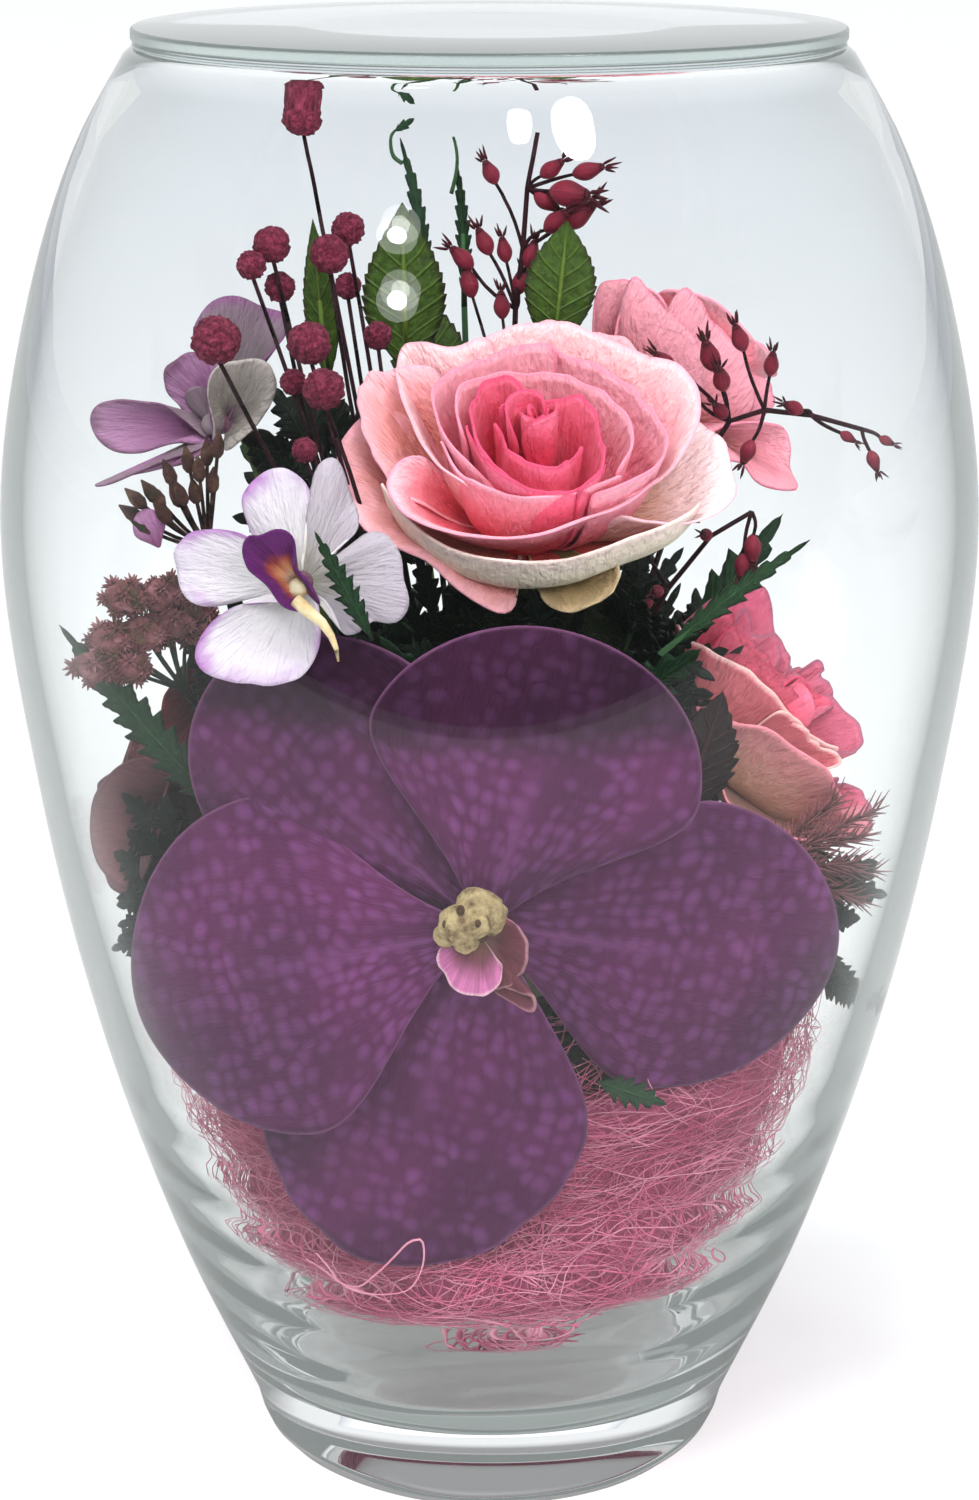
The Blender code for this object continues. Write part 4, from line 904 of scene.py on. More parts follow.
RIGHT_PETALS = (("outer", 0.9, 0.1, 0.6, ((690, 690, 7), (704, 722, 12), (724, 758, 15), (742, 798, 17),
        (790, 832, 16), (832, 832, 12), (866, 828, 7), (868, 800, 3))),
                ("cup", 0.9, 0.1, 0.6, ((832, 772, 4), (842, 780, 2), (854, 778, 1), (864, 791, 1),
                                        (865, 803, 2), (857, 812, 4), (868, 822, 3), (862, 834, 4),
                                        (820, 834, 8))), ("outer", 0.95, 0.05, 0.8,
        ((689, 668, 3), (693, 678, 6), (698, 703, 9), (708, 709, 11), (718, 704, 12), (728, 721, 13),
         (750, 725, 13.5), (772, 728, 13.5), (796, 740, 12.5), (820, 760, 11), (840, 782, 9), (854, 808, 6),
         (866, 823, 4))), ("cup", 0.9, 0.1, 0.6, ((686, 652, -4), (687, 622, -6), (706, 610, -8),
        (726, 606, -10), (736, 612, -11), (744, 593, -11), (757, 591, -11), (767, 600, -11), (779, 615, -11),
        (782, 629, -10), (781, 641, -9), (788, 662, -8))),
                ("cup", 0.92, 0.08, 0.5, ((732, 646, -4), (741, 622, -5), (749, 615, -6), (757, 622, -7),
        (762, 633, -7), (773, 637, -8), (783, 638, -9), (794, 647, -9), (800, 655, -9), (801, 665, -8),
        (808, 682, -7))), ("cup", 0.95, 0.05, 0.5, ((792, 676, -7), (797, 666, -7), (808, 668, -8),
        (819, 664, -8), (824, 674, -8), (818, 678, -7), (829, 684, -7), (835, 694, -7), (833, 708, -5))),
                ("cup", 0.92, 0.08, 0.7, ((800, 700, -4), (818, 694, -6), (836, 694, -6), (849, 703, -6),
        (862, 717, -5), (869, 729, -4), (870, 742, -2), (857, 748, 0), (839, 747, 1), (816, 738, 3))),
                ("fold", 0.95, 0.05, 0.9, ((681, 630, -2), (689, 638, 3), (701, 650, 6), (717, 662, 8),
        (737, 674, 9), (760, 681, 9.5), (786, 690, 9), (799, 704, 8), (812, 720, 6), (828, 736, 4),
        (844, 742, 2))), ("fold", 0.95, 0.08, 0.7, ((776, 712, 8), (792, 708, 7.5), (806, 718, 7),
        (822, 736, 5.5), (839, 748, 4), (839, 757, 4), (834, 762, 5), (818, 756, 8))),
                ("inner", 0.95, 0.1, 0.4, ((700, 650, 2), (706, 628, 0), (720, 616, -2), (734, 622, -4),
        (742, 634, -5), (756, 640, -5), (764, 654, -5), (780, 662, -5), (790, 682, -4), (796, 698, -2))),
                ("inner", 0.95, 0.1, 0.4, ((716, 654, 3), (728, 636, 1), (744, 644, -1), (756, 654, -2),
        (770, 662, -3), (786, 682, -2), (796, 702, 0))),
                ("inner", 0.95, 0.1, 0.4, ((728, 650, 4), (750, 662, 6), (778, 675, 7), (798, 692, 6),
        (812, 714, 3))))
BACK_ROSE = ((22.5, 21.5, 141.0), (0.45, 0.42, 0.78), 20.0)
BACK_PETALS = (("shell", 0.95, 0.1, 0.3, ((600, 400, -14), (597, 345, -14), (597, 306, -15), (604, 285, -16),
        (626, 283, -17), (646, 300, -18), (656, 330, -18))),
               ("shell", 0.95, 0.1, 0.3, ((662, 372, -16), (664, 330, -17), (674, 306, -17), (683, 291, -17),
        (700, 308, -18), (714, 330, -19), (744, 352, -20), (757, 382, -21), (750, 412, -21))),
               ("shell", 0.95, 0.1, 0.4, ((728, 372, -21), (757, 376, -23), (774, 390, -24), (770, 410, -24),
        (748, 424, -22))), ("shell", 0.8, 0.3, 0.4, ((700, 440, -15), (742, 421, -16), (766, 425, -17),
        (788, 436, -18), (793, 462, -17), (799, 489, -15), (780, 493, -14), (762, 483, -14), (748, 463, -14),
        (715, 462, -14))), ("shell", 0.95, 0.1, 0.3, ((612, 380, -11), (617, 338, -12), (624, 306, -13),
        (636, 278, -13), (652, 293, -13), (672, 312, -14), (694, 340, -15), (704, 374, -15),
        (700, 400, -15))))
LEFT_ROSE = ((-37.0, 5.0, 92.0), (-0.93, -0.04, 0.35), 17.0)
LEFT_PETALS = (("outer", 0.8, 0.2, 0.8, ((212, 884, 10), (218, 846, 13), (204, 800, 14), (172, 765, 12),
        (140, 756, 9), (108, 768, 6), (89, 794, 4), (84, 828, 4), (96, 864, 6), (128, 888, 8))),
               ("outer", 0.8, 0.2, 0.8, ((110, 770, 0), (92, 782, -4), (82, 812, -5), (88, 862, -4),
        (110, 892, 0), (150, 905, 4))))
CRIMSON_PETALS = (("outer", 0.7, 0.3, 0.5, ((214, 742, 12), (172, 738, 13), (164, 708, 14), (172, 676, 14),
        (196, 664, 13), (216, 682, 12))),)


def rose_frame(rose):
    """The frame at a rose's foot, along its axis."""
    base, axis, _ = rose
    return aim(base, axis, (0.2, 0.9, 0.3))


def make_core(name, rose, look):
    """A low core inside a rose, where its petals' feet meet."""
    placed = rose_frame(rose) @ Matrix.Scale(rose[2] / ROSE_REACH, 4)
    bm = start()
    lumpy(bm, 6.6, placed @ Matrix.Translation((0, 0, 6.0)), (1, 1, 0.8), 0.1, 2.0, 2, 3)
    finish(name + "_core", bm, [look], [name + "_petals"])


def make_roses():
    """The wide open rose in front, and those to its right, behind it and on the left."""
    facing = FACING_CAMERA
    make_flower("rose_front", "rose_front_petals", rose_frame(FRONT_ROSE), FRONT_ROSE[:2], FRONT_PETALS,
                (3.4, 3.0), ROSE_LOOKS, 1.3)
    make_rose("rose_front", (6.0, -5.5, 132.0), FRONT_ROSE[1], 27.3, (), 1, ROSE_LOOKS, "pink_petals", 0.5)
    make_flower("rose_right", "rose_right_petals", rose_frame(RIGHT_ROSE), facing, RIGHT_PETALS, (3.0, 3.0),
                DEEP_LOOKS, 1.5)
    make_rose("rose_right", *RIGHT_ROSE, ((3, BUD),), 2, DEEP_LOOKS, "deep_pink_petals", 0.8)
    make_flower("rose_back", "rose_back_petals", rose_frame(BACK_ROSE), facing, BACK_PETALS, (3.0, 3.0),
                ROSE_LOOKS, 0.8)
    make_rose("rose_back", *BACK_ROSE, ((3, BUD), (3, CUP), (4, FOLD)), 3, ROSE_LOOKS, "pink_petals", 0.8)
    make_rose("rose_left", *LEFT_ROSE, ((3, CUP), (4, SKIRT)), 4, DUSKY_LOOKS, "dusky_petals", 0.3)
    make_flower("rose_left_front", "rose_left_petals", rose_frame(LEFT_ROSE), facing, LEFT_PETALS, (3.0, 3.0),
                DUSKY_LOOKS, 1.0)
    make_flower("crimson_petal", "rose_left_petals", aim((-37, -8, 112), (-0.3, -0.9, 0.3), (0, 0, 1)),
                facing, CRIMSON_PETALS, (0.5, 0.0), CRIMSON_LOOKS, 0.8)
    for name, rose, look, slot in (("rose_front", FRONT_ROSE, ROSE_LOOKS["heart"][0], "pink_petals"),
                                   ("rose_right", RIGHT_ROSE, DEEP_LOOKS["heart"][0], "deep_pink_petals"),
                                   ("rose_back", BACK_ROSE, ROSE_LOOKS["heart"][0], "pink_petals"),
                                   ("rose_left", LEFT_ROSE, DUSKY_LOOKS["heart"][0], "dusky_petals")):
        make_core(name, rose, look)


# Sprays

def make_ball_spray(name, heads, fork):
    """Knobbly heads on wiry stems that meet at a fork above the foam."""
    fork = Vector(fork)
    bm = start()
    for number, (place, radius) in enumerate(heads):
        lumpy(bm, radius * 0.95, Matrix.Translation(place), (1, 1, 1), 0.34, radius * 0.24, number + 2)
    finish(name + "_heads", bm, [BALL_PINK], [name])
    bm = start()
    for number, (place, radius) in enumerate(heads):
        place = Vector(place)
        bow = Vector((0.9 * math.sin(2.1 * number), 0.6 * math.cos(number), 0))
        tube(bm, bent(fork, place - Vector((0, 0, radius * 0.6)), bow, 6), 0.36, 6, 0.3)
    tube(bm, [fork + Vector((0, 0, 1.0)), fork, foam_end(fork)], 0.55)
    finish(name + "_wires", bm, [WIRE_MAROON], [name])


def make_ball_sprays():
    """Three sprays of pink ball heads on the left."""
    back = (((-25, 5, 187.1), 2.7), ((-19.2, 8, 171.7), 2.3), ((-21.4, 0.5, 169.4), 2.7),
            ((-19.5, 11, 163.6), 1.9), ((-15.2, 5, 157.8), 2.0))
    left = (((-28.8, -3, 171.2), 2.5), ((-31.4, -5, 168.8), 2.0), ((-28.0, -1, 165.3), 2.1),
            ((-35.5, -14, 160.4), 3.3), ((-26.1, -6, 153.5), 1.8))
    front = (((-23.6, -10.5, 159.4), 2.9), ((-21.6, -14, 154.0), 2.8), ((-23.6, -24, 147.9), 1.7))
    make_ball_spray("ball_spray_back", back, (-12.5, 3, 118))
    make_ball_spray("ball_spray_left", left, (-16.5, -7, 118))
    make_ball_spray("ball_spray_front", front, (-14, -12.5, 124))


def pod(bm, place, direction, length, number):
    """An urn-shaped seed pod, faintly ribbed, with five narrow points at its mouth."""
    placed = aim(place, direction, (0.3, 0.9, 0.1)) @ Matrix.Scale(length, 4)
    grain, spot = bm.verts.layers.float_vector["grain"], bm.verts.layers.float_vector["place"]
    profile = ((-0.3, 0.05), (-0.22, 0.15), (-0.06, 0.26), (0.12, 0.28), (0.3, 0.2), (0.46, 0.12),
               (0.56, 0.09))
    points = 5
    last = None
    for level, (height, radius) in enumerate(profile):
        made = bmesh.ops.create_circle(bm, cap_ends=level in (0, len(profile) - 1), segments=points * 2,
                                       radius=1)["verts"]
        for vert in made:
            turn = math.atan2(vert.co.y, vert.co.x)
            reach = radius * (1 + 0.07 * math.cos(points * turn))
            vert[grain] = (turn * 2, height * 6, 10 * number)
            vert[spot] = (math.sin(turn), (height + 0.22) / 0.9, 0)
            vert.co = placed @ Vector((reach * math.cos(turn), reach * math.sin(turn), height))
        edges = list({edge for vert in made for edge in vert.link_edges})
        if last:
            bmesh.ops.bridge_loops(bm, edges=last + edges)
        last = edges
    for k in range(points):
        lean = math.radians(8 + 9 * ((k + number) % 4))
        long = 0.36 + 0.1 * ((2 * k + number) % 3)
        sideways = Matrix.Rotation(math.radians(72) * k, 4, "Z") @ Matrix.Translation((0.06, 0, 0.5))
        tip = bmesh.ops.create_cone(bm, cap_ends=True, segments=4, radius1=0.12, radius2=0.012, depth=long,
                                    matrix=placed @ sideways @ Matrix.Rotation(lean, 4, "Y")
                                    @ Matrix.Translation((0, 0, long / 2)))["verts"]
        for vert in tip:
            vert[spot] = (0, 0.95, 0)


def make_pod_spray(name, stalk, pods, radius):
    """Seed pods on short bent branches of one wiry stalk."""
    stalk = [Vector(point) for point in stalk]
    bm = start()
    for number, (px, py, front, joint, length) in enumerate(pods):
        place = spot(px, py, front)
        pod(bm, place, place - stalk[joint], 0.86 * length, number)
    finish(name + "_pods", bm, [POD_RED], [name], 0, 1)
    bm = start()
    tube(bm, [*stalk, foam_end(stalk[-1])], radius * 0.8, 6, radius * 1.1)
    for number, (px, py, front, joint, length) in enumerate(pods):
        place = spot(px, py, front)
        bow = Vector((0.5 * math.cos(2 * number), 0.4, 0.5 * math.sin(3 * number)))
        out = (place - stalk[joint]).normalized()
        tube(bm, bent(stalk[joint], place - out * length * 0.18, bow, 5), 0.3, 6, 0.24)
    finish(name + "_stalks", bm, [WIRE_MAROON], [name])


def make_pod_sprays():
    """The dark red seed pods above, to the right of, and below the front rose."""
    top = ((6.6, 15, 184), (5.2, 15, 176), (4.6, 15, 168), (3.6, 14, 160), (3.0, 11, 140))
    top_pods = ((492, 181, -14, 2, 5.4), (549, 176, -14, 1, 5.8), (564, 198, -13, 1, 8.2),
                (584, 177, -14, 1, 6.4), (573, 222, -14, 2, 7.8), (553, 228, -13, 2, 6.2),
                (543, 204, -15, 1, 5.6), (486, 249, -14, 3, 5.6), (465, 264, -14, 3, 5.8),
                (470, 290, -14, 4, 6.0), (505, 257, -15, 3, 5.0), (530, 262, -15, 3, 5.6),
                (520, 288, -15, 3, 5.4), (502, 312, -12, 4, 5.4))
    make_pod_spray("pod_spray_top", top, top_pods, 0.45)
    right = ((50.0, -4, 146.8), (43.2, -3, 148.5), (37.0, -2, 149.0), (32.4, -1, 147.3), (25, 1, 134))
    right_pods = ((885, 441, 5, 0, 3.2), (873, 459, 5, 0, 4.2), (846, 437, 4, 1, 3.4), (796, 410, 4, 1, 4.6),
                  (771, 369, 3, 2, 4.8), (741, 344, 3, 2, 5.4), (711, 362, 3, 3, 6.4), (722, 384, 4, 3, 5.6),
                  (691, 394, 4, 3, 5.2), (667, 366, 4, 3, 5.2), (749, 450, 3, 2, 5.0), (722, 414, 2, 3, 4.6))
    make_pod_spray("pod_spray_right", right, right_pods, 0.4)
    low = ((34.8, -11, 137.0), (29.5, -10, 133.5), (24, -8.5, 126), (17, -6, 112))
    low_pods = ((752, 546, 12, 0, 5.6), (742, 563, 12, 0, 4.8), (657, 592, 13, 2, 4.2),
                (648, 604, 12, 2, 3.2), (706, 536, 12, 1, 4.0), (640, 540, 12, 2, 3.4))
    make_pod_spray("pod_spray_low", low, low_pods, 0.4)


# Leaves and ferns

def leaf_shape(length, half_width, teeth, bite, sweep, arch, keel, sub=0.0, late=0.8):
    """A pointed leaf whose edge runs out to a tooth and cuts back in, over and over."""
    def shape(x, y):
        t = (y + 1) / 2
        saw = (t * teeth + 0.25) % 1
        fine = (t * teeth * 3) % 1
        width = half_width * math.sin(math.pi * min(t**late, 1)) * (1 - bite * (1 - saw)) * (1
                - sub * (1 - fine))
        width = max(width, 0.5 * half_width * max(0.25 - t, 0))
        ahead = sweep * length * abs(x)**1.5 * saw * (1 - t)
        lift = arch * 4 * t * (1 - t) - keel * abs(x) * width
        return Vector((x * width, t * length + ahead, lift))
    return shape


def frond(bm, base, tip, facing, half_width, teeth, number, bite=0.55, arch=0.0, keel=0.0, sub=0.12,
          columns=4, fine=6, late=0.8):
    """Add one toothed blade."""
    base, tip = Vector(base), Vector(tip)
    length = (tip - base).length
    sheet(bm, leaf_shape(length, half_width, teeth, bite, 0.5 / teeth, arch, keel, sub, late), columns,
          teeth * fine, lay(base, tip, facing), (half_width, length), number, False, 0.35)


def make_frond(name, base, tip, facing, half_width, look, slot, teeth=8, bite=0.55, arch=0.0, keel=0.0,
               **finer):
    """A toothed blade on its wiry stem, in place of its solid."""
    base, tip = Vector(base), Vector(tip)
    bm = start()
    frond(bm, base, tip, facing, half_width, teeth, 1, bite, arch, keel, **finer)
    tube(bm, [base + (tip - base) * 0.5 + Vector(facing).normalized() * arch * 0.8, base, foam_end(base)],
         0.35, 6, 0.65)
    finish(name + "_blade", bm, [look], [name])


def make_ferns():
    """Narrow toothed fern fronds, front and back."""
    ferns = (("fern_top_left", (-8.5, 25, 158), (-12.5, 26, 182), (0.5, -0.85, 0), 1.7, 10, 1.5),
             ("fern_top_mid", (-3.6, 28, 158), (-4.7, 28, 178.5), (-0.4, -0.9, 0), 1.5, 10, -1.2),
             ("fern_right", (22.5, -20, 120), (41.8, -18, 134.9), (0, -0.7, 0.7), 2.0, 9, 1.0),
             ("fern_left", (-34, -17, 96), (-56, -20, 124.0), (-0.2, -0.95, 0.1), 3.8, 13, 1.5),
             ("fern_low_left", (-36, -13, 84), (-51, -10, 74), (-0.3, -0.9, 0.2), 4.2, 6, 0),
             ("fern_low_right", (31, -9, 77), (48, -7, 70), (0.2, -0.95, 0.2), 3.4, 6, 0),
             ("fern_bottom", (13, -25, 75), (19.5, -27, 62), (0, -0.9, 0.3), 3.4, 5, 0),
             ("fern_mid_left", (-5, -24, 112), (-14, -33, 126), (-0.5, -0.8, 0.4), 3.8, 5, 0),
             ("fern_mid_right", (16, -20, 112), (27, -32, 124), (0.3, -0.9, 0.4), 3.6, 5, 0),
             ("fern_back_left", (-24, 26, 120), (-38, 38, 142), (-0.4, 0.8, 0.4), 4.4, 6, 0),
             ("fern_back_mid", (2, 34, 112), (4, 52, 130), (0, 0.7, 0.7), 4.4, 6, 0),
             ("fern_back_right", (28, 28, 108), (44, 38, 126), (0.5, 0.8, 0.3), 4.2, 6, 0),
             ("fern_back_low", (-8, 34, 84), (-12, 50, 80), (0, 0.4, 0.9), 4.2, 6, 0))
    for name, base, tip, facing, half_width, teeth, arch in ferns:
        make_frond(name, base, tip, facing, half_width, FERN, "fern_green", teeth, arch=arch)
    bm = start()
    for row, front in ((((402, 168), (393, 160), (390, 148), (391, 138), (395, 132)), -26),
                       (((451, 200), (455, 184), (457, 166), (456, 152), (453, 140)), -28)):
        curl = smooth_row([spot(*point, front) for point in row])
        tube(bm, [curl(-1 + 0.1 * k) for k in range(21)], 0.35, 6, 0.22)
    frond(bm, spot(393, 134, -26), spot(414, 120, -26), (0, -1, 0.3), 0.9, 3, 5, 0.5)
    frond(bm, spot(374, 640, 36), spot(316, 531, 40), (0, -0.9, 0.3), 1.9, 9, 3, 0.6)
    frond(bm, spot(596, 1078, 34), spot(664, 1100, 36), (0, -0.9, 0.3), 2.6, 6, 4, 0.6)
    finish("fern_tips", bm, [FERN], ())


def make_leaves():
    """Broad toothed leaves, bright green above and dark maroon beside the right-hand rose."""
    leaves = (("leaf_top_left", (-11.8, 18.2, 151), (-12.2, 21, 173.5), (0.1, -1, 0.1), 6.2, 0.8, 0.12),
              ("leaf_top_right", (8.4, 9.5, 153), (10.6, 10.0, 172.6), (0.1, -1, 0.15), 5.2, 1.4, 0.12),
              ("leaf_left", (-22.5, 15, 150), (-24.5, 16, 172), (-0.2, -1, 0.1), 2.6, 0.6, 0.1),
              ("leaf_back_high", (-6, 34, 140), (-12, 42, 160), (-0.2, 0.9, 0.3), 6.0, 1.0, 0),
              ("leaf_back_low", (16, 30, 92), (24, 46, 100), (0.2, 0.5, 0.85), 6.0, 1.0, 0),
              ("leaf_back_left", (-28, 24, 96), (-40, 36, 106), (-0.5, 0.6, 0.6), 6.0, 1.0, 0))
    for name, base, tip, facing, half_width, arch, keel in leaves:
        make_frond(name, base, tip, facing, half_width, LEAF, "leaf_green", 15, 0.09, arch, keel, sub=0.0,
                   columns=12, fine=4, late=1.15 if name == "leaf_top_right" else 0.8)
    make_frond("leaf_maroon", (24.8, -19.5, 97), (30.6, -22.5, 115.6), (0.3, -0.95, 0), 6.0, MAROON,
               "maroon_leaf", 9, 0.2, 0.6, 0.1, sub=0.0, columns=10, fine=5)


# Clumps of undergrowth: middle, half sizes, main direction, how many fronds, and their length
CLUMPS = (((4.5, -7, 113), (19, 10, 8), (0, -0.5, 0.1), 120, 10), ((0, 8, 98), (28, 18, 14), (0, 0, 0.5),
        110, 14), ((-21, 7, 135), (7, 6, 9), (-0.3, 0.2, 0.7), 56, 10), ((-27, -6, 108), (9, 8, 8),
        (-0.4, -0.2, 0.1), 34, 9), ((18, -7, 111), (7, 6, 7), (0.3, -0.5, 0.2), 30, 8),
          ((4, 24, 120), (20, 9, 12), (0, 0.8, 0.2), 70, 13), ((45, -10, 80), (3, 5, 9), (0.8, -0.3, -0.1),
        26, 8), ((0, 21, 80), (21, 4, 13), (0, 0.9, -0.1), 90, 10), ((-44, -10, 84), (3, 5, 8),
        (-0.7, -0.2, 0.1), 26, 7))


def make_undergrowth():
    """Dark small fronds that fill in round the stems, all the way round, and dark lumps in the gaps; their
    near-black colour is partly the ferns' own and partly painted shade.
    """
    draw = random.Random(21)
    for group, (middle, spread, lean, count, reach) in enumerate(CLUMPS):
        bm = start()
        for k in range(count):
            offset = Vector(draw.uniform(-1, 1) for _ in range(3))
            base = Vector(middle) + Vector(offset[i] * spread[i] for i in range(3))
            out = (Vector(lean) + 0.8 * offset + Vector(draw.uniform(-0.5, 0.5)
                    for _ in range(3))).normalized()
            tip = base + out * reach * draw.uniform(0.6, 1.15)
            facing = Vector((draw.uniform(-1, 1), -1, draw.uniform(-0.4, 1)))
            frond(bm, base, tip, facing, draw.uniform(2.2, 3.8), 5, k, arch=draw.uniform(-1.4, 1.4),
                  columns=2, fine=4)
            if k % 4 == 0:
                tube(bm, [base.lerp(tip, 0.3), base, foam_end(base)], 0.3, 4, 0.5)
        finish(f"undergrowth_{group + 1}", bm, [FERN_DARK], ())
    # Painted shade: dark lumps put where the bouquet lies in deep shade, and in the gap beside the large
    # orchid's lowest tepal
    bm = start()
    lumpy(bm, 1.0, Matrix.Translation((6, -2, 115)), (17, 9, 9), 0.3, 0.16, 4, 5)
    lumpy(bm, 1.0, Matrix.Translation((1, 6, 99)), (25, 17, 13), 0.3, 0.13, 7, 5)
    lumpy(bm, 1.0, Matrix.Translation(spot(560, 1050, 22)), (10, 4, 8), 0.3, 0.16, 9, 4)
    finish("moss_and_shade", bm, [MOSS_AND_SHADE], ())


# Fillers, buds and needles

def tuft(bm, centre, reach, spikes, draw, sides=3):
    """A fluffy floret: pointed scales standing out all round."""
    for k in range(spikes):
        level = 1 - 2 * (k + 0.5) / spikes
        turn = 2.4 * k
        spread = math.sqrt(1 - level * level)
        out = Vector((spread * math.cos(turn), spread * math.sin(turn), level))
        length = reach * draw.uniform(0.75, 1.1)
        placed = aim(Vector(centre) + out * length * 0.5, out, (0.3, 0.2, 0.9))
        bmesh.ops.create_cone(bm, cap_ends=True, segments=sides, radius1=reach * 0.3, radius2=reach * 0.06,
                              depth=length, matrix=placed)


def make_fillers():
    """Fluffy dusty-pink florets, a spray of pointed buds above them and one small lilac petal."""
    draw = random.Random(11)
    clusters = ((126, 598, 19, 9), (164, 596, 18, 12), (176, 622, 18, 10), (112, 642, 20, 12),
                (146, 632, 19, 10), (98, 664, 20, 8), (132, 664, 20, 9), (196, 606, 16, 8),
                (204, 634, 16, 6))
    joint = spot(186, 690, 18)
    bm = start()
    wires = start()
    for px, py, front, florets in clusters:
        centre = spot(px, py, front)
        tube(wires, bent(joint, centre, (-0.6, 0, 0.5), 5), 0.3, 5, 0.22)
        for k in range(florets):
            turn, level = 2.4 * k, 1 - 2 * (k + 0.5) / florets
            spread = math.sqrt(1 - level**2)
            place = centre + Vector((2.5 * spread * math.cos(turn), 1.8 * spread * math.sin(turn),
                                     2.1 * level))
            tuft(bm, place, draw.uniform(1.1, 1.9), 30, draw)
        lumpy(bm, 2.5, Matrix.Translation(centre), (1, 0.8, 0.9), 0.5, 0.8, px, 3)
    tube(wires, [joint, foam_end(joint)], 0.5)
    finish("filler_florets", bm, [FILLER], ["filler_left"])
    finish("filler_wires", wires, [FERN_DARK], ["filler_left"])
    fork = Vector((-37.5, -10, 132))
    bm = start()
    for k in range(15):
        tip = Vector((-48.5 + 0.95 * k, -13 - 1.5 * (k % 3), 137.5 + 0.62 * k + 2.6 * math.sin(2.3 * k)))
        out = (tip - fork).normalized()
        side = aim(tip - out * 2.6, out + Vector((0, 0, 0.25)), (0, -1, 0))
        tube(bm, [side @ Vector((0, 0, z)) for z in (-0.4, 0.4)], 0.5, 6, 0.95)
        tube(bm, [side @ Vector((0, 0, z)) for z in (0.4, 1.6)], 0.95, 6, 0.9)
        tube(bm, [side @ Vector((0, 0, z)) for z in (1.6, 3.4)], 0.9, 6, 0.12)
        tube(bm, bent(fork, tip - out * 2.8, (0, 0, -0.5), 4), 0.3, 5, 0.25)
    tube(bm, [fork, foam_end(fork)], 0.5)
    finish("bud_spray_buds", bm, [BUD_BROWN], ["bud_spray_left"])
    bm = start()
    blade = lay((-43.6, -14, 133), (-45.6, -16, 138.5), (0.2, -1, 0.2))
    sheet(bm, tepal_shape(6.0, 2.2, cup=0.6, arch=0.5), 8, 8, blade, (2, 6), 3)
    finish("lilac_petal", bm, [LAVENDER], (), 0.35, 1)


def make_bristles():
    """Branching sprays of soft needles beside the right-hand rose."""
    draw = random.Random(8)
    root = Vector((36, -17, 88))
    bm = start()
    tops = ((52.0, -14, 88), (51.0, -12, 92.5), (50.0, -16, 84.5), (47.0, -11, 97.0), (48.5, -17, 90.0),
            (53.0, -10, 95.5), (46.0, -15, 93.5))
    for top in tops:
        top = Vector(top)
        line = (top - root).normalized()
        spine = bent(root, top, (0, 0, 0.8), 6)
        tube(bm, spine, 0.4, 6, 0.2)
        needles = 54
        for k in range(needles):
            t = 0.2 + 0.8 * k / (needles - 1)
            place = root.lerp(top, t) + Vector((0, 0, 0.8 * math.sin(math.pi * t)))
            lean = math.radians(46 - 18 * k / needles)
            length = draw.uniform(3.2, 5.4) * (1 - 0.25 * t)
            spun = aim(place, line, (0, 0, 1)) @ Matrix.Rotation(2.4 * k, 4, "Z")
            placed = spun @ Matrix.Rotation(lean, 4, "Y")
            bmesh.ops.create_cone(bm, cap_ends=True, segments=4, radius1=0.2, radius2=0.06, depth=length,
                                  matrix=placed @ Matrix.Translation((0, 0, length / 2)))
    tube(bm, [root, foam_end(root)], 0.5)
    finish("bristle_needles", bm, [BRISTLE], ["bristle_right"])


# Fibre nest

def nest_radius(height, turn):
    """The fibre's outside radius, drawn in at the front where the large orchid hangs."""
    front = max(0.0, -math.sin(turn))
    dent = NEST_FRONT_DENT * front**1.2 * smooth((height - 33) / 20)
    ripple = 0.5 * math.sin(7 * turn + height / 5) + 0.4 * math.sin(11 * turn - height / 3)
    return curve_through(NEST_OUTSIDE, height) - dent + ripple * smooth((height - 14) / 10)


def make_nest_body():
    """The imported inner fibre: a soft bowl a little inside the loose strands."""
    stations = [(height, 1.1) for height in evenly(NEST_FOOT, NEST_TOP, 26)]
    stations += [(60.6, 3.2), (58.5, 5.5), (55, 8), (50, 11), (46, 14)]
    bm = start()
    last = None
    for height, inset in stations + [(42, None), (30.6, None)]:
        made = bmesh.ops.create_circle(bm, segments=NEST_FOLDS, radius=1)["verts"]
        for vert in made:
            turn = math.atan2(vert.co.y, vert.co.x)
            rough = 0.9 * noise.noise(Vector((8 * math.cos(turn), 8 * math.sin(turn), height / 4)))
            least = NEST_WELL * min(1, (height - 12) / 20)
            reach = NEST_WELL if inset is None else max(nest_radius(height, turn) - inset + rough, least)
            vert.co = Vector((reach * math.cos(turn), reach * math.sin(turn), height))
        edges = list({edge for vert in made for edge in vert.link_edges})
        if last:
            bmesh.ops.bridge_loops(bm, edges=last + edges)
        last = edges
    bmesh.ops.holes_fill(bm, edges=[edge for edge in bm.edges if edge.is_boundary], sides=0)
    bmesh.ops.recalc_face_normals(bm, faces=bm.faces[:])
    finish("sisal_body", bm, [SISAL_BODY], ["sisal_nest"])


# Fibres that curl less than this get half as many points
STRAIGHTER = 0.4


def strand_curve(name, look):
    """An empty curve object for thin fibres."""
    data = bpy.data.curves.new(name, "CURVE")
    data.dimensions = "3D"
    data.bevel_depth = 0.065 * MM
    data.bevel_resolution = 0
    data.use_fill_caps = True
    data.materials.append(look)
    return data


def add_strand(data, points):
    """Add one fibre through points in millimetres."""
    spline = data.splines.new("POLY")
    spline.points.add(len(points) - 1)
    for point, place in zip(spline.points, points):
        point.co = (*(Vector(place) * MM), 1)


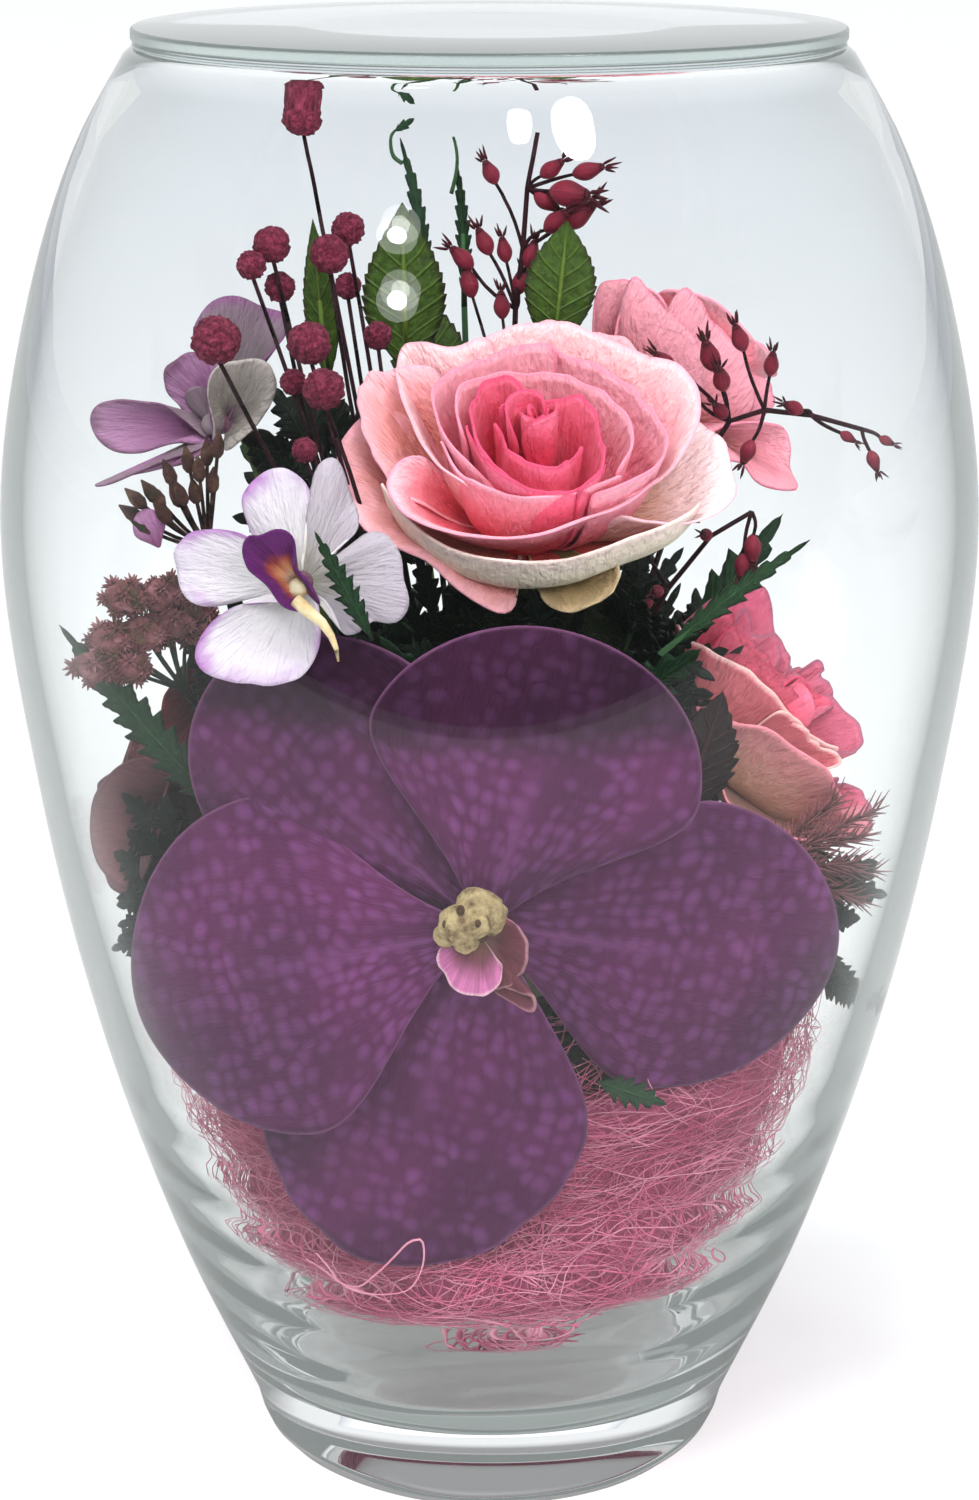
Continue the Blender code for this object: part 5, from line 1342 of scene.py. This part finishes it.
def make_strands():
    """Thousands of fine curling fibres wound round the nest, some standing proud of its rim."""
    draw = random.Random(33)
    batches, strands, steps = 4, 700, 20
    for batch in range(batches):
        # The last batch is paler, partly as painted highlight on the fibres
        data = strand_curve(f"sisal_strands_{batch + 1}", SISAL_PALE if batch == batches - 1 else SISAL)
        for k in range(strands):
            turn = draw.uniform(0, 2 * math.pi)
            height = 16 + 46 * draw.random()**0.75
            heading, curl = draw.uniform(-0.7, 0.7), draw.uniform(-0.6, 0.6)
            deep = draw.uniform(-3.6, 2.4)
            way = draw.choice((-1, 1))
            rise = draw.uniform(0.2, 1.0) if height > 52 and draw.random() < 0.5 else 0.0
            pace = draw.uniform(1.0, 2.2)
            points = []
            for i in range(steps):
                wave = 0.7 * math.sin(i * 0.9 + k) + 0.5 * math.sin(i * 0.37 + 2 * k)
                reach = nest_radius(min(height, 60), turn) - deep + 0.7 * math.sin(i * 0.55 + 3 * k)
                limit = vase_inside(max(height, 16)) - 0.7
                reach = max(min(reach, limit), 1.0)
                points.append((reach * math.cos(turn), reach * math.sin(turn), height))
                heading += curl * 0.35 + 0.12 * wave
                turn += way * pace * math.cos(heading) / max(reach, 8)
                height += pace * math.sin(heading) * 0.55 + rise
                height = min(max(height, 14.6), 71)
                if height > 60:
                    deep += 0.25
            add_strand(data, points[::2] if abs(curl) < STRAIGHTER else points)
        piece = bpy.data.objects.new(data.name, data)
        SCENE.collection.objects.link(piece)
        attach(piece, "root")


def make_loop():
    """One fibre that loops out over the lowest tepal."""
    data = strand_curve("sisal_loop", SISAL_PALE)
    data.bevel_depth = 0.14 * MM
    loop = ((-22.5, -33.0, 41.5), (-17.0, -41.5, 40.0), (-14.5, -42.6, 42.5), (-12.0, -43.0, 45.5),
            (-10.0, -43.2, 47.6), (-8.7, -43.2, 47.8), (-8.3, -43.0, 45.8), (-8.9, -42.6, 42.6),
            (-10.4, -41.8, 40.2), (-13.5, -40.5, 39.0), (-18.5, -37.0, 38.5), (-24.0, -30.5, 39.5))
    along_loop = smooth_row([Vector(point) for point in loop])
    add_strand(data, [along_loop(-1 + k / 30) for k in range(61)])
    piece = bpy.data.objects.new("sisal_loop", data)
    SCENE.collection.objects.link(piece)
    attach(piece, "root")


# Finishes

GLASS = glass_look("clear blown glass", (0.985, 0.995, 0.99))
LID_GLASS = glass_look("clear plate glass", (0.975, 0.995, 0.988))
EDGE_GLASS = glass_look("ground glass edge", (0.86, 0.975, 0.94), 0.25)
SEALANT = glass_look("clear sealant line", (0.9, 0.97, 0.95), 0.12)
PURPLE = netted_look("netted purple tepal", (72, 20, 62), (106, 56, 106), (116, 72, 108))
PURPLE_BACK = netted_look("netted purple tepal back", (84, 40, 78), (120, 76, 120), (116, 70, 110))
PURPLE_RIM = dried_look("pale tepal rim", ((92, 48, 86), (112, 66, 106)), 0.3, 0.6, 0.0001, 0.0)
HUB_GREEN = dried_look("orchid hub", ((90, 50, 90), (120, 90, 90)), 1.2)
COLUMN_CREAM = dried_look("cream column", ((90, 68, 50), (148, 130, 96), (178, 160, 120)), 0.7, 0.8, 0.0004,
                          0.0)
PIT_BROWN = dried_look("dark pit", ((50, 32, 22), (84, 60, 38)), 1.0)
LOBE_PINK = petal_look("pink lobe", ((0, 110, 84, 66), (0.35, 112, 60, 76), (0.75, 172, 96, 142)), 0.3,
                       rim=(214, 176, 184), rim_from=0.93)
LOBE_MAROON = petal_look("maroon lobe", ((0, 110, 84, 74), (0.4, 84, 38, 46), (1, 92, 42, 56)), 0.35,
                         rim=(160, 112, 120), rim_from=0.95)
WHITE = petal_look("white tepal", ((0, 186, 184, 166), (0.3, 202, 198, 202), (1, 202, 192, 206)), 0.08,
                   tip=(160, 108, 170), crumple=0.5)
WHITE_SHADED = petal_look("shaded white tepal", ((0, 170, 165, 150), (0.4, 168, 160, 168),
                          (1, 172, 162, 174)), 0.08, crumple=0.4)
WHITE_BACK = petal_look("white tepal back", ((0, 210, 210, 190), (1, 214, 204, 216)), 0.1)
LIP_LOOK = petal_look("striped lip", ((0, 240, 225, 205), (0.3, 205, 140, 100), (0.5, 150, 62, 60),
                      (0.62, 92, 26, 92), (1, 86, 20, 92)), 0.35)
SPUR_CREAM = dried_look("cream spur", ((180, 144, 92), (204, 188, 152), (208, 200, 182)), 0.3)
LAVENDER = petal_look("lavender tepal", ((0, 150, 84, 132), (0.4, 158, 104, 148), (0.9, 164, 118, 156),
                      (1, 118, 78, 108)), 0.2, crumple=0.5)
LAVENDER_GREY = petal_look("greyed lavender tepal", ((0, 110, 94, 102), (0.5, 112, 100, 106),
                           (0.9, 124, 104, 118), (1, 130, 84, 124)), 0.2, crumple=0.5)
LAVENDER_PALE = petal_look("pale lavender tepal", ((0, 140, 116, 128), (0.4, 168, 160, 152),
                           (1, 176, 166, 162)), 0.15, crumple=0.6)
LAVENDER_BACK = petal_look("lavender tepal back", ((0, 130, 116, 122), (1, 132, 110, 124)), 0.2)


def rose_looks(name, line, inside, outside, veins=0.07):
    """Inner face, underside and rim finishes of one ring of rose petals, with a fine line along the rims."""
    return [petal_look(name, inside, veins, crumple=0.6, rim=line, rim_from=0.97),
            petal_look(name + " back", outside, veins, crumple=0.6, rim=line, rim_from=0.97),
            petal_look(name + " rim", ((0.0, *line), (1.0, *line)), veins)]


ROSE_LOOKS = {
    "heart": rose_looks(
        "rose heart", (216, 74, 112),
        ((0, 214, 44, 82), (0.45, 238, 80, 116), (0.9, 246, 120, 150)),
        ((0, 226, 80, 104), (0.9, 244, 112, 144))),
    "inner": rose_looks(
        "inner rose petal", (236, 140, 164),
        ((0, 226, 54, 92), (0.35, 242, 110, 138), (0.7, 246, 150, 170), (0.92, 248, 178, 194)),
        ((0, 232, 100, 116), (0.6, 244, 134, 156), (0.95, 248, 170, 188))),
    "fold": rose_looks(
        "folded rose petal", (240, 156, 178),
        ((0, 220, 54, 82), (0.5, 238, 104, 122), (0.8, 244, 146, 160), (0.94, 248, 188, 200)),
        ((0, 230, 100, 108), (0.5, 240, 122, 140), (0.85, 246, 156, 174))),
    "cup": rose_looks(
        "cupped rose petal", (240, 172, 188),
        ((0, 220, 76, 98), (0.4, 238, 128, 146), (0.66, 242, 164, 178), (0.84, 246, 190, 198),
         (0.96, 248, 204, 208)),
        ((0, 208, 190, 150), (0.5, 238, 176, 170), (0.95, 246, 196, 200))),
    "outer": rose_looks(
        "outer rose petal", (244, 170, 186),
        ((0, 208, 88, 84), (0.35, 222, 134, 116), (0.55, 222, 144, 130), (0.78, 230, 152, 150),
         (0.95, 240, 174, 182)),
        ((0, 190, 190, 146), (0.5, 224, 190, 168), (0.85, 236, 176, 176))),
    "blush": rose_looks(
        "blush rose petal", (246, 196, 208),
        ((0, 208, 88, 84), (0.3, 222, 140, 118), (0.5, 236, 192, 176), (0.68, 248, 220, 220),
         (0.95, 250, 228, 232)),
        ((0, 190, 190, 146), (0.5, 224, 200, 180), (0.85, 240, 196, 196))),
    "cream": rose_looks(
        "cream rose petal", (248, 218, 212),
        ((0, 190, 50, 60), (0.4, 212, 98, 86), (0.7, 222, 134, 112), (0.88, 240, 196, 184),
         (0.96, 250, 226, 218)),
        ((0, 168, 172, 128), (0.4, 206, 200, 168), (0.75, 232, 220, 200), (0.95, 248, 226, 218))),
    "olive": rose_looks(
        "olive rose petal", (216, 190, 150),
        ((0, 96, 84, 48), (0.5, 150, 126, 84), (0.95, 204, 176, 138)),
        ((0, 120, 100, 60), (0.95, 200, 150, 120))),
    "shell": rose_looks(
        "rear rose petal", (226, 130, 154),
        ((0, 204, 84, 98), (0.5, 220, 122, 138), (0.95, 232, 156, 172)),
        ((0, 196, 146, 128), (0.4, 212, 132, 140), (0.7, 222, 140, 156), (0.95, 232, 156, 172)))}
DEEP_LOOKS = {
    "heart": ROSE_LOOKS["heart"],
    "inner": rose_looks(
        "deep inner petal", (186, 66, 96),
        ((0, 176, 32, 60), (0.5, 202, 62, 90), (0.95, 216, 98, 124)),
        ((0, 196, 74, 86), (0.9, 214, 90, 116))),
    "fold": rose_looks(
        "deep folded petal", (246, 198, 196),
        ((0, 176, 74, 76), (0.5, 192, 96, 94), (0.84, 212, 130, 130), (0.97, 236, 170, 168)),
        ((0, 186, 120, 106), (0.6, 202, 112, 114), (0.9, 216, 116, 128))),
    "cup": rose_looks(
        "deep cupped petal", (168, 96, 120),
        ((0, 168, 38, 62), (0.5, 192, 68, 96), (0.9, 212, 104, 134)),
        ((0, 196, 160, 136), (0.6, 208, 124, 126), (0.92, 222, 116, 140))),
    "outer": rose_looks(
        "deep outer petal", (232, 140, 156),
        ((0, 176, 142, 128), (0.45, 198, 140, 136), (0.8, 212, 126, 134), (0.97, 236, 150, 164)),
        ((0, 196, 188, 152), (0.6, 206, 170, 150), (0.9, 214, 140, 144)))}
DUSKY_LOOKS = {ring: rose_looks(f"dusky {ring}", (96, 58, 66), ((0, 84, 38, 48), (1, 116, 72, 80)),
                                ((0, 80, 46, 48), (1, 92, 58, 64)), 0.15) for ring in ("heart", "inner",
                                "outer")}
CRIMSON_LOOKS = {
    "outer": rose_looks(
        "crimson petal", (120, 40, 56),
        ((0, 96, 20, 36), (1, 130, 40, 58)),
        ((0, 96, 20, 36), (1, 130, 40, 58)),
        0.2)}
BALL_PINK = dried_look("knobbly ball head", ((60, 14, 30), (110, 34, 58), (150, 62, 88)), 1.6, 0.85, 0.0005)
WIRE_MAROON = dried_look("dark maroon wire", ((24, 8, 14), (52, 18, 28)), 0.8, 0.6)
POD_RED = petal_look("dark red pod", ((0, 132, 38, 58), (0.5, 112, 22, 44), (1, 62, 14, 26)), 0.35, 0.5)
FERN = leaf_look("fern green", (28, 58, 34), (44, 76, 44), (18, 38, 24), 16.0)
# Near-black green: partly the fronds' own colour, partly painted shade; the dark lumps below stand for shade
# in the gaps
FERN_DARK = leaf_look("dark undergrowth", (12, 24, 15), (22, 36, 22), (9, 17, 11), 10.0)
MOSS_AND_SHADE = dried_look("dark moss", ((10, 16, 8), (26, 34, 16)), 0.6, 0.95, 0.0008)
LEAF = leaf_look("leaf green", (52, 76, 16), (80, 102, 32), (38, 40, 14))
MAROON = leaf_look("maroon leaf", (40, 24, 26), (58, 34, 36), (28, 16, 18))
FILLER = dried_look("dusty pink floret", ((76, 68, 48), (104, 60, 66), (146, 104, 106)), 0.4, 0.9)
BUD_BROWN = dried_look("brown bud", ((34, 38, 24), (56, 34, 34), (82, 64, 50)), 0.6, 0.8)
BRISTLE = dried_look("pink brown needle", ((92, 54, 58), (132, 80, 88)), 0.4, 0.85)
SISAL = dried_look("pink sisal fibre", ((170, 66, 104), (192, 100, 132), (208, 132, 158)), 0.12, 0.55,
                   2e-05)
# Paler fibres: the loop's own colour, and for one batch of strands partly painted highlight
SISAL_PALE = dried_look("pale sisal fibre", ((190, 110, 134), (214, 150, 168)), 0.12, 0.5, 2e-05)
SISAL_BODY = dried_look("packed sisal", ((154, 60, 96), (180, 90, 124)), 1.1, 0.9, 0.0006)
FOAM_LOOK = dried_look("dry foam", ((186, 176, 150), (208, 198, 176)), 2.4, 0.95, 0.0003)
STEM_LOOK = dried_look("green stem", ((52, 66, 30), (88, 100, 50)), 0.5, 0.7)


def dress_carried_nodes():
    """The foam and the stems keep their solids and get their finish."""
    for name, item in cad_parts.items():
        look = FOAM_LOOK if name == "foam" else STEM_LOOK if name.endswith("_stem") else None
        if look:
            item.data.materials.clear()
            item.data.materials.append(look)


# Studio

LAMPS = (("ceiling lamp left", 397, 235, 52, 28, True), ("ceiling lamp low", 397, 300, 52, 28, True),
         ("ceiling lamp middle", 520, 135, 62, 44, False), ("ceiling lamp right", 575, 137, 104, 116, False))
HALO_STRETCH = 2.2
LAMP_DISTANCE = 620
# Painted light round the glass: where and how far the floor's reflection is darkened, the painted greys of
# deep reflections and of the view up through the foot, the floor's far glow, and the painted shadow under the
# vase seen through the glass
PAINTED_TABLE_EDGE = 300
MIRROR_SHADE = 0.62
DEEP_GREY = 0.42
DEEP_PALE = 0.85
DARK_INSIDE = 0.16
FOOT_GREY = 0.38
BACKDROP_GLOW = 0.33
BACKDROP_GLOW_INSIDE = 0.19
WORLD_STRENGTH = 0.72
BACKDROP_STRENGTH = 1.0
SHADE_RADIUS = (40, 100)
SHADE_DEPTH = 0.6


def place_camera():
    """The camera stands where the picture was taken from."""
    data = bpy.data.cameras.new("camera")
    data.lens = CAMERA_LENS
    data.clip_start = 0.01
    holder = bpy.data.objects.new("camera", data)
    holder.location = CAMERA_PLACE * MM
    holder.rotation_euler = (CAMERA_TILT, 0, 0)
    SCENE.collection.objects.link(holder)
    SCENE.camera = holder


def mirrored_from(px, py):
    """A point on the vase's front under a pixel, and the way its reflection looks from there."""
    line = seen_along(px, py)
    travel = 300.0
    while travel < 600:
        point = CAMERA_PLACE + line * travel
        if 0 < point.z < VASE_RIM and math.hypot(point.x, point.y) < vase_outside(point.z):
            break
        travel += 0.05
    slope = (vase_outside(point.z + 0.5) - vase_outside(point.z - 0.5))
    flat = Vector((point.x, point.y, 0)).normalized()
    normal = (flat - Vector((0, 0, slope))).normalized()
    return point, line - normal * 2 * line.dot(normal)


def lamp(name, place, towards, size, power, colour=(1, 1, 1)):
    """An oval soft lamp, so wide and so tall."""
    data = bpy.data.lights.new(name, "AREA")
    data.shape = "ELLIPSE"
    data.size, data.size_y = size[0] * MM, size[1] * MM
    data.energy = power
    data.color = colour
    holder = bpy.data.objects.new(name, data)
    holder.location = Vector(place) * MM
    holder.rotation_euler = (Vector(place) - Vector(towards)).to_track_quat("Z", "Y").to_euler()
    holder.visible_camera = False
    SCENE.collection.objects.link(holder)
    return holder


def make_floor():
    """The plain pale floor. Seen in the glass's reflections it is painted darker on the camera's side and
    fully dark a little in front of the vase, as where a table would end, and a painted grey in deep
    reflections; seen through the glass it has a painted shadow under the vase and a dimmer, bluer glow far
    off.
    """
    bm = bmesh.new()
    bmesh.ops.create_circle(bm, cap_ends=True, segments=96, radius=8000,
                            matrix=Matrix.Translation((0, 0, -0.4)))
    look = dried_look("pale floor", ((243.45, 244.63, 245.81), (245.81, 246.99, 248.15)), 0.02, 0.9, 0.0)
    place = in_object(look)
    # Painted reflection: in the glass's reflections the floor on the camera's side is darkened, partly near
    # the vase and fully further out in front, as if a table ended there; seen through the glass this dark is
    # a faint tinted grey
    forward = calc(look, "DIVIDE", parts(look, place)[1], -PAINTED_TABLE_EDGE)
    front = calc(look, "GREATER_THAN", forward, 1.0)
    path = add(look, "LightPath", {})
    reflected = calc(look, "GREATER_THAN", path.outputs["Glossy Depth"], 0.5)
    surface = look.node_tree.nodes["Principled BSDF"].outputs[0]
    ahead = ramp(look, calc(look, "MULTIPLY_ADD", forward, 0.5, 0.5), (0.35, 0.0), (0.5, MIRROR_SHADE))
    shade = calc(look, "MAXIMUM", front, ahead)
    through = calc(look, "MINIMUM", path.outputs["Transmission Depth"], 1.0)
    dim = calc(look, "MULTIPLY", through, DARK_INSIDE)
    dark = add(look, "Emission", {"Color": DEEP_TINT, "Strength": dim})
    away = add(look, "VectorMath", {0: place}, operation="LENGTH").outputs["Value"]
    # Painted shadow: seen through the glass, the floor under the vase is darkened by up to 0.6 within 40 mm
    # of the middle, fading out by 100 mm
    under = ramp(look, calc(look, "DIVIDE", away, 2 * SHADE_RADIUS[1]),
                 (SHADE_RADIUS[0] / SHADE_RADIUS[1] / 2, SHADE_DEPTH), (0.5, 0.0))
    # The far floor glows to stay white; seen through the glass, its glow is painted dimmer and bluer
    far = ramp(look, calc(look, "DIVIDE", away, 2000), (0.1, 0.0), (0.7, 1.0))
    glow = calc(look, "MULTIPLY_ADD", through, BACKDROP_GLOW_INSIDE - BACKDROP_GLOW, BACKDROP_GLOW)
    paint(look, Emission_Color=blend(look, through, (1.0, 1.0, 1.0), (0.7, 0.8, 1.0)),
          Emission_Strength=calc(look, "MULTIPLY", far, glow))
    painted_shadow = calc(look, "MULTIPLY", under, through)
    amount = calc(look, "MAXIMUM", calc(look, "MULTIPLY", shade, reflected), painted_shadow)
    either = add(look, "MixShader", {0: amount, 1: surface, 2: dark.outputs[0]})
    # Painted glow: in deep reflections within 1.5 m, the floor shines a plain tinted grey
    deep = add(look, "Emission", {"Color": DEEP_TINT, "Strength": DEEP_GREY})
    behind = calc(look, "MULTIPLY", calc(look, "LESS_THAN", forward, 0.2),
                  calc(look, "GREATER_THAN", path.outputs["Transmission Depth"], 1.5))
    further = calc(look, "GREATER_THAN", path.outputs["Transmission Depth"], 2.5)
    near = calc(look, "LESS_THAN", away, 1500)
    deeper = calc(look, "MAXIMUM", behind, further)
    within = calc(look, "MULTIPLY", calc(look, "MULTIPLY", reflected, near), deeper)
    last = add(look, "MixShader", {0: within, 1: either.outputs[0], 2: deep.outputs[0]})
    give(look, look.node_tree.nodes["Material Output"].inputs["Surface"], last.outputs[0])
    built("floor", bm, [look])


def make_world():
    """Even pale surroundings; in the glass's reflections they are painted dark on the camera's side, greyer
    looking up and pale grey in deep reflections, and seen upward through the glass they are painted grey.
    """
    world = bpy.data.worlds.new("studio")
    SCENE.world = world
    world.use_nodes = True
    nodes, links = world.node_tree.nodes, world.node_tree.links
    direction = nodes.new("ShaderNodeSeparateXYZ")
    links.new(nodes.new("ShaderNodeTexCoord").outputs["Generated"], direction.inputs[0])
    path = nodes.new("ShaderNodeLightPath")

    def spread(first, last, low, high):
        made = nodes.new("ShaderNodeMapRange")
        for name, value in zip(("From Min", "From Max", "To Min", "To Max"), (first, last, low, high)):
            made.inputs[name].default_value = value
        return made

    def mixed(factor, first, second):
        made = nodes.new("ShaderNodeMix")
        for place, value in ((0, factor), (2, first), (3, second)):
            if isinstance(value, bpy.types.NodeSocket):
                links.new(value, made.inputs[place])
            else:
                made.inputs[place].default_value = value
        return made.outputs[0]

    def deeper(depth):
        made = spread(depth - 0.1, depth + 0.1, 0.0, 1.0)
        links.new(path.outputs["Transmission Depth"], made.inputs["Value"])
        return made.outputs[0]
    # Painted reflection: how bright the surroundings look in the glass, by direction and by how deep the ray
    # has gone
    once = spread(-0.2, 0.75, 0.02, 0.95)
    inside = spread(-0.2, 0.75, 0.2, DEEP_PALE)
    steep = spread(0.2, 0.45, 1.0, 0.42)
    for axis, seen in (("Y", once), ("Y", inside), ("Z", steep)):
        links.new(direction.outputs[axis], seen.inputs["Value"])
    greyed = nodes.new("ShaderNodeMath")
    greyed.operation = "MULTIPLY"
    links.new(inside.outputs[0], greyed.inputs[0])
    links.new(steep.outputs[0], greyed.inputs[1])
    # Painted grey: the surroundings seen upward through the glass, as under the foot
    upward = spread(0.06, 0.16, 0.0, 1.0)
    links.new(direction.outputs["Z"], upward.inputs["Value"])
    by_foot = nodes.new("ShaderNodeMath")
    by_foot.operation = "MULTIPLY"
    links.new(upward.outputs[0], by_foot.inputs[0])
    links.new(deeper(1.5), by_foot.inputs[1])
    seen = mixed(by_foot.outputs[0], BACKDROP_STRENGTH, FOOT_GREY)
    plain = mixed(path.outputs["Is Diffuse Ray"], seen, WORLD_STRENGTH)
    mirrored = mixed(deeper(2.5), mixed(deeper(0.5), once.outputs[0], greyed.outputs[0]), DEEP_PALE)
    either = nodes.new("ShaderNodeMix")
    links.new(path.outputs["Glossy Depth"], either.inputs[0])
    links.new(plain, either.inputs[2])
    links.new(mirrored, either.inputs[3])
    links.new(either.outputs[0], nodes["Background"].inputs["Strength"])
    nodes["Background"].inputs["Color"].default_value = (0.96, 0.98, 1.0, 1)


def make_studio():
    """The floor, the surroundings, two soft lamps and the small ceiling lamps seen in the glass."""
    make_floor()
    make_world()
    for soft in (lamp("soft lamp above", (-350, -450, 1300), (0, 0, 100), (700, 700), 13),
                 lamp("soft lamp front", (400, -1100, 700), (0, 0, 110), (500, 500), 8, (1, 0.97, 0.94))):
        soft.visible_glossy = False
        soft.visible_transmission = False
    for name, px, py, wide, tall, halo in LAMPS:
        point, way = mirrored_from(px, py)
        lamp(name, point + way * LAMP_DISTANCE, point, (wide, tall), 0.00009 * wide * tall)
        if halo:
            lamp(name + " halo", point + way * (LAMP_DISTANCE + 5), point,
                 (wide * HALO_STRETCH, tall * HALO_STRETCH), 0.08)


SCENE.view_settings.view_transform = "Standard"
place_camera()
make_studio()
make_vase()
make_lid()
make_orchids()
make_roses()
make_ball_sprays()
make_pod_sprays()
make_ferns()
make_leaves()
make_undergrowth()
make_fillers()
make_bristles()
make_nest_body()
make_strands()
make_loop()
dress_carried_nodes()
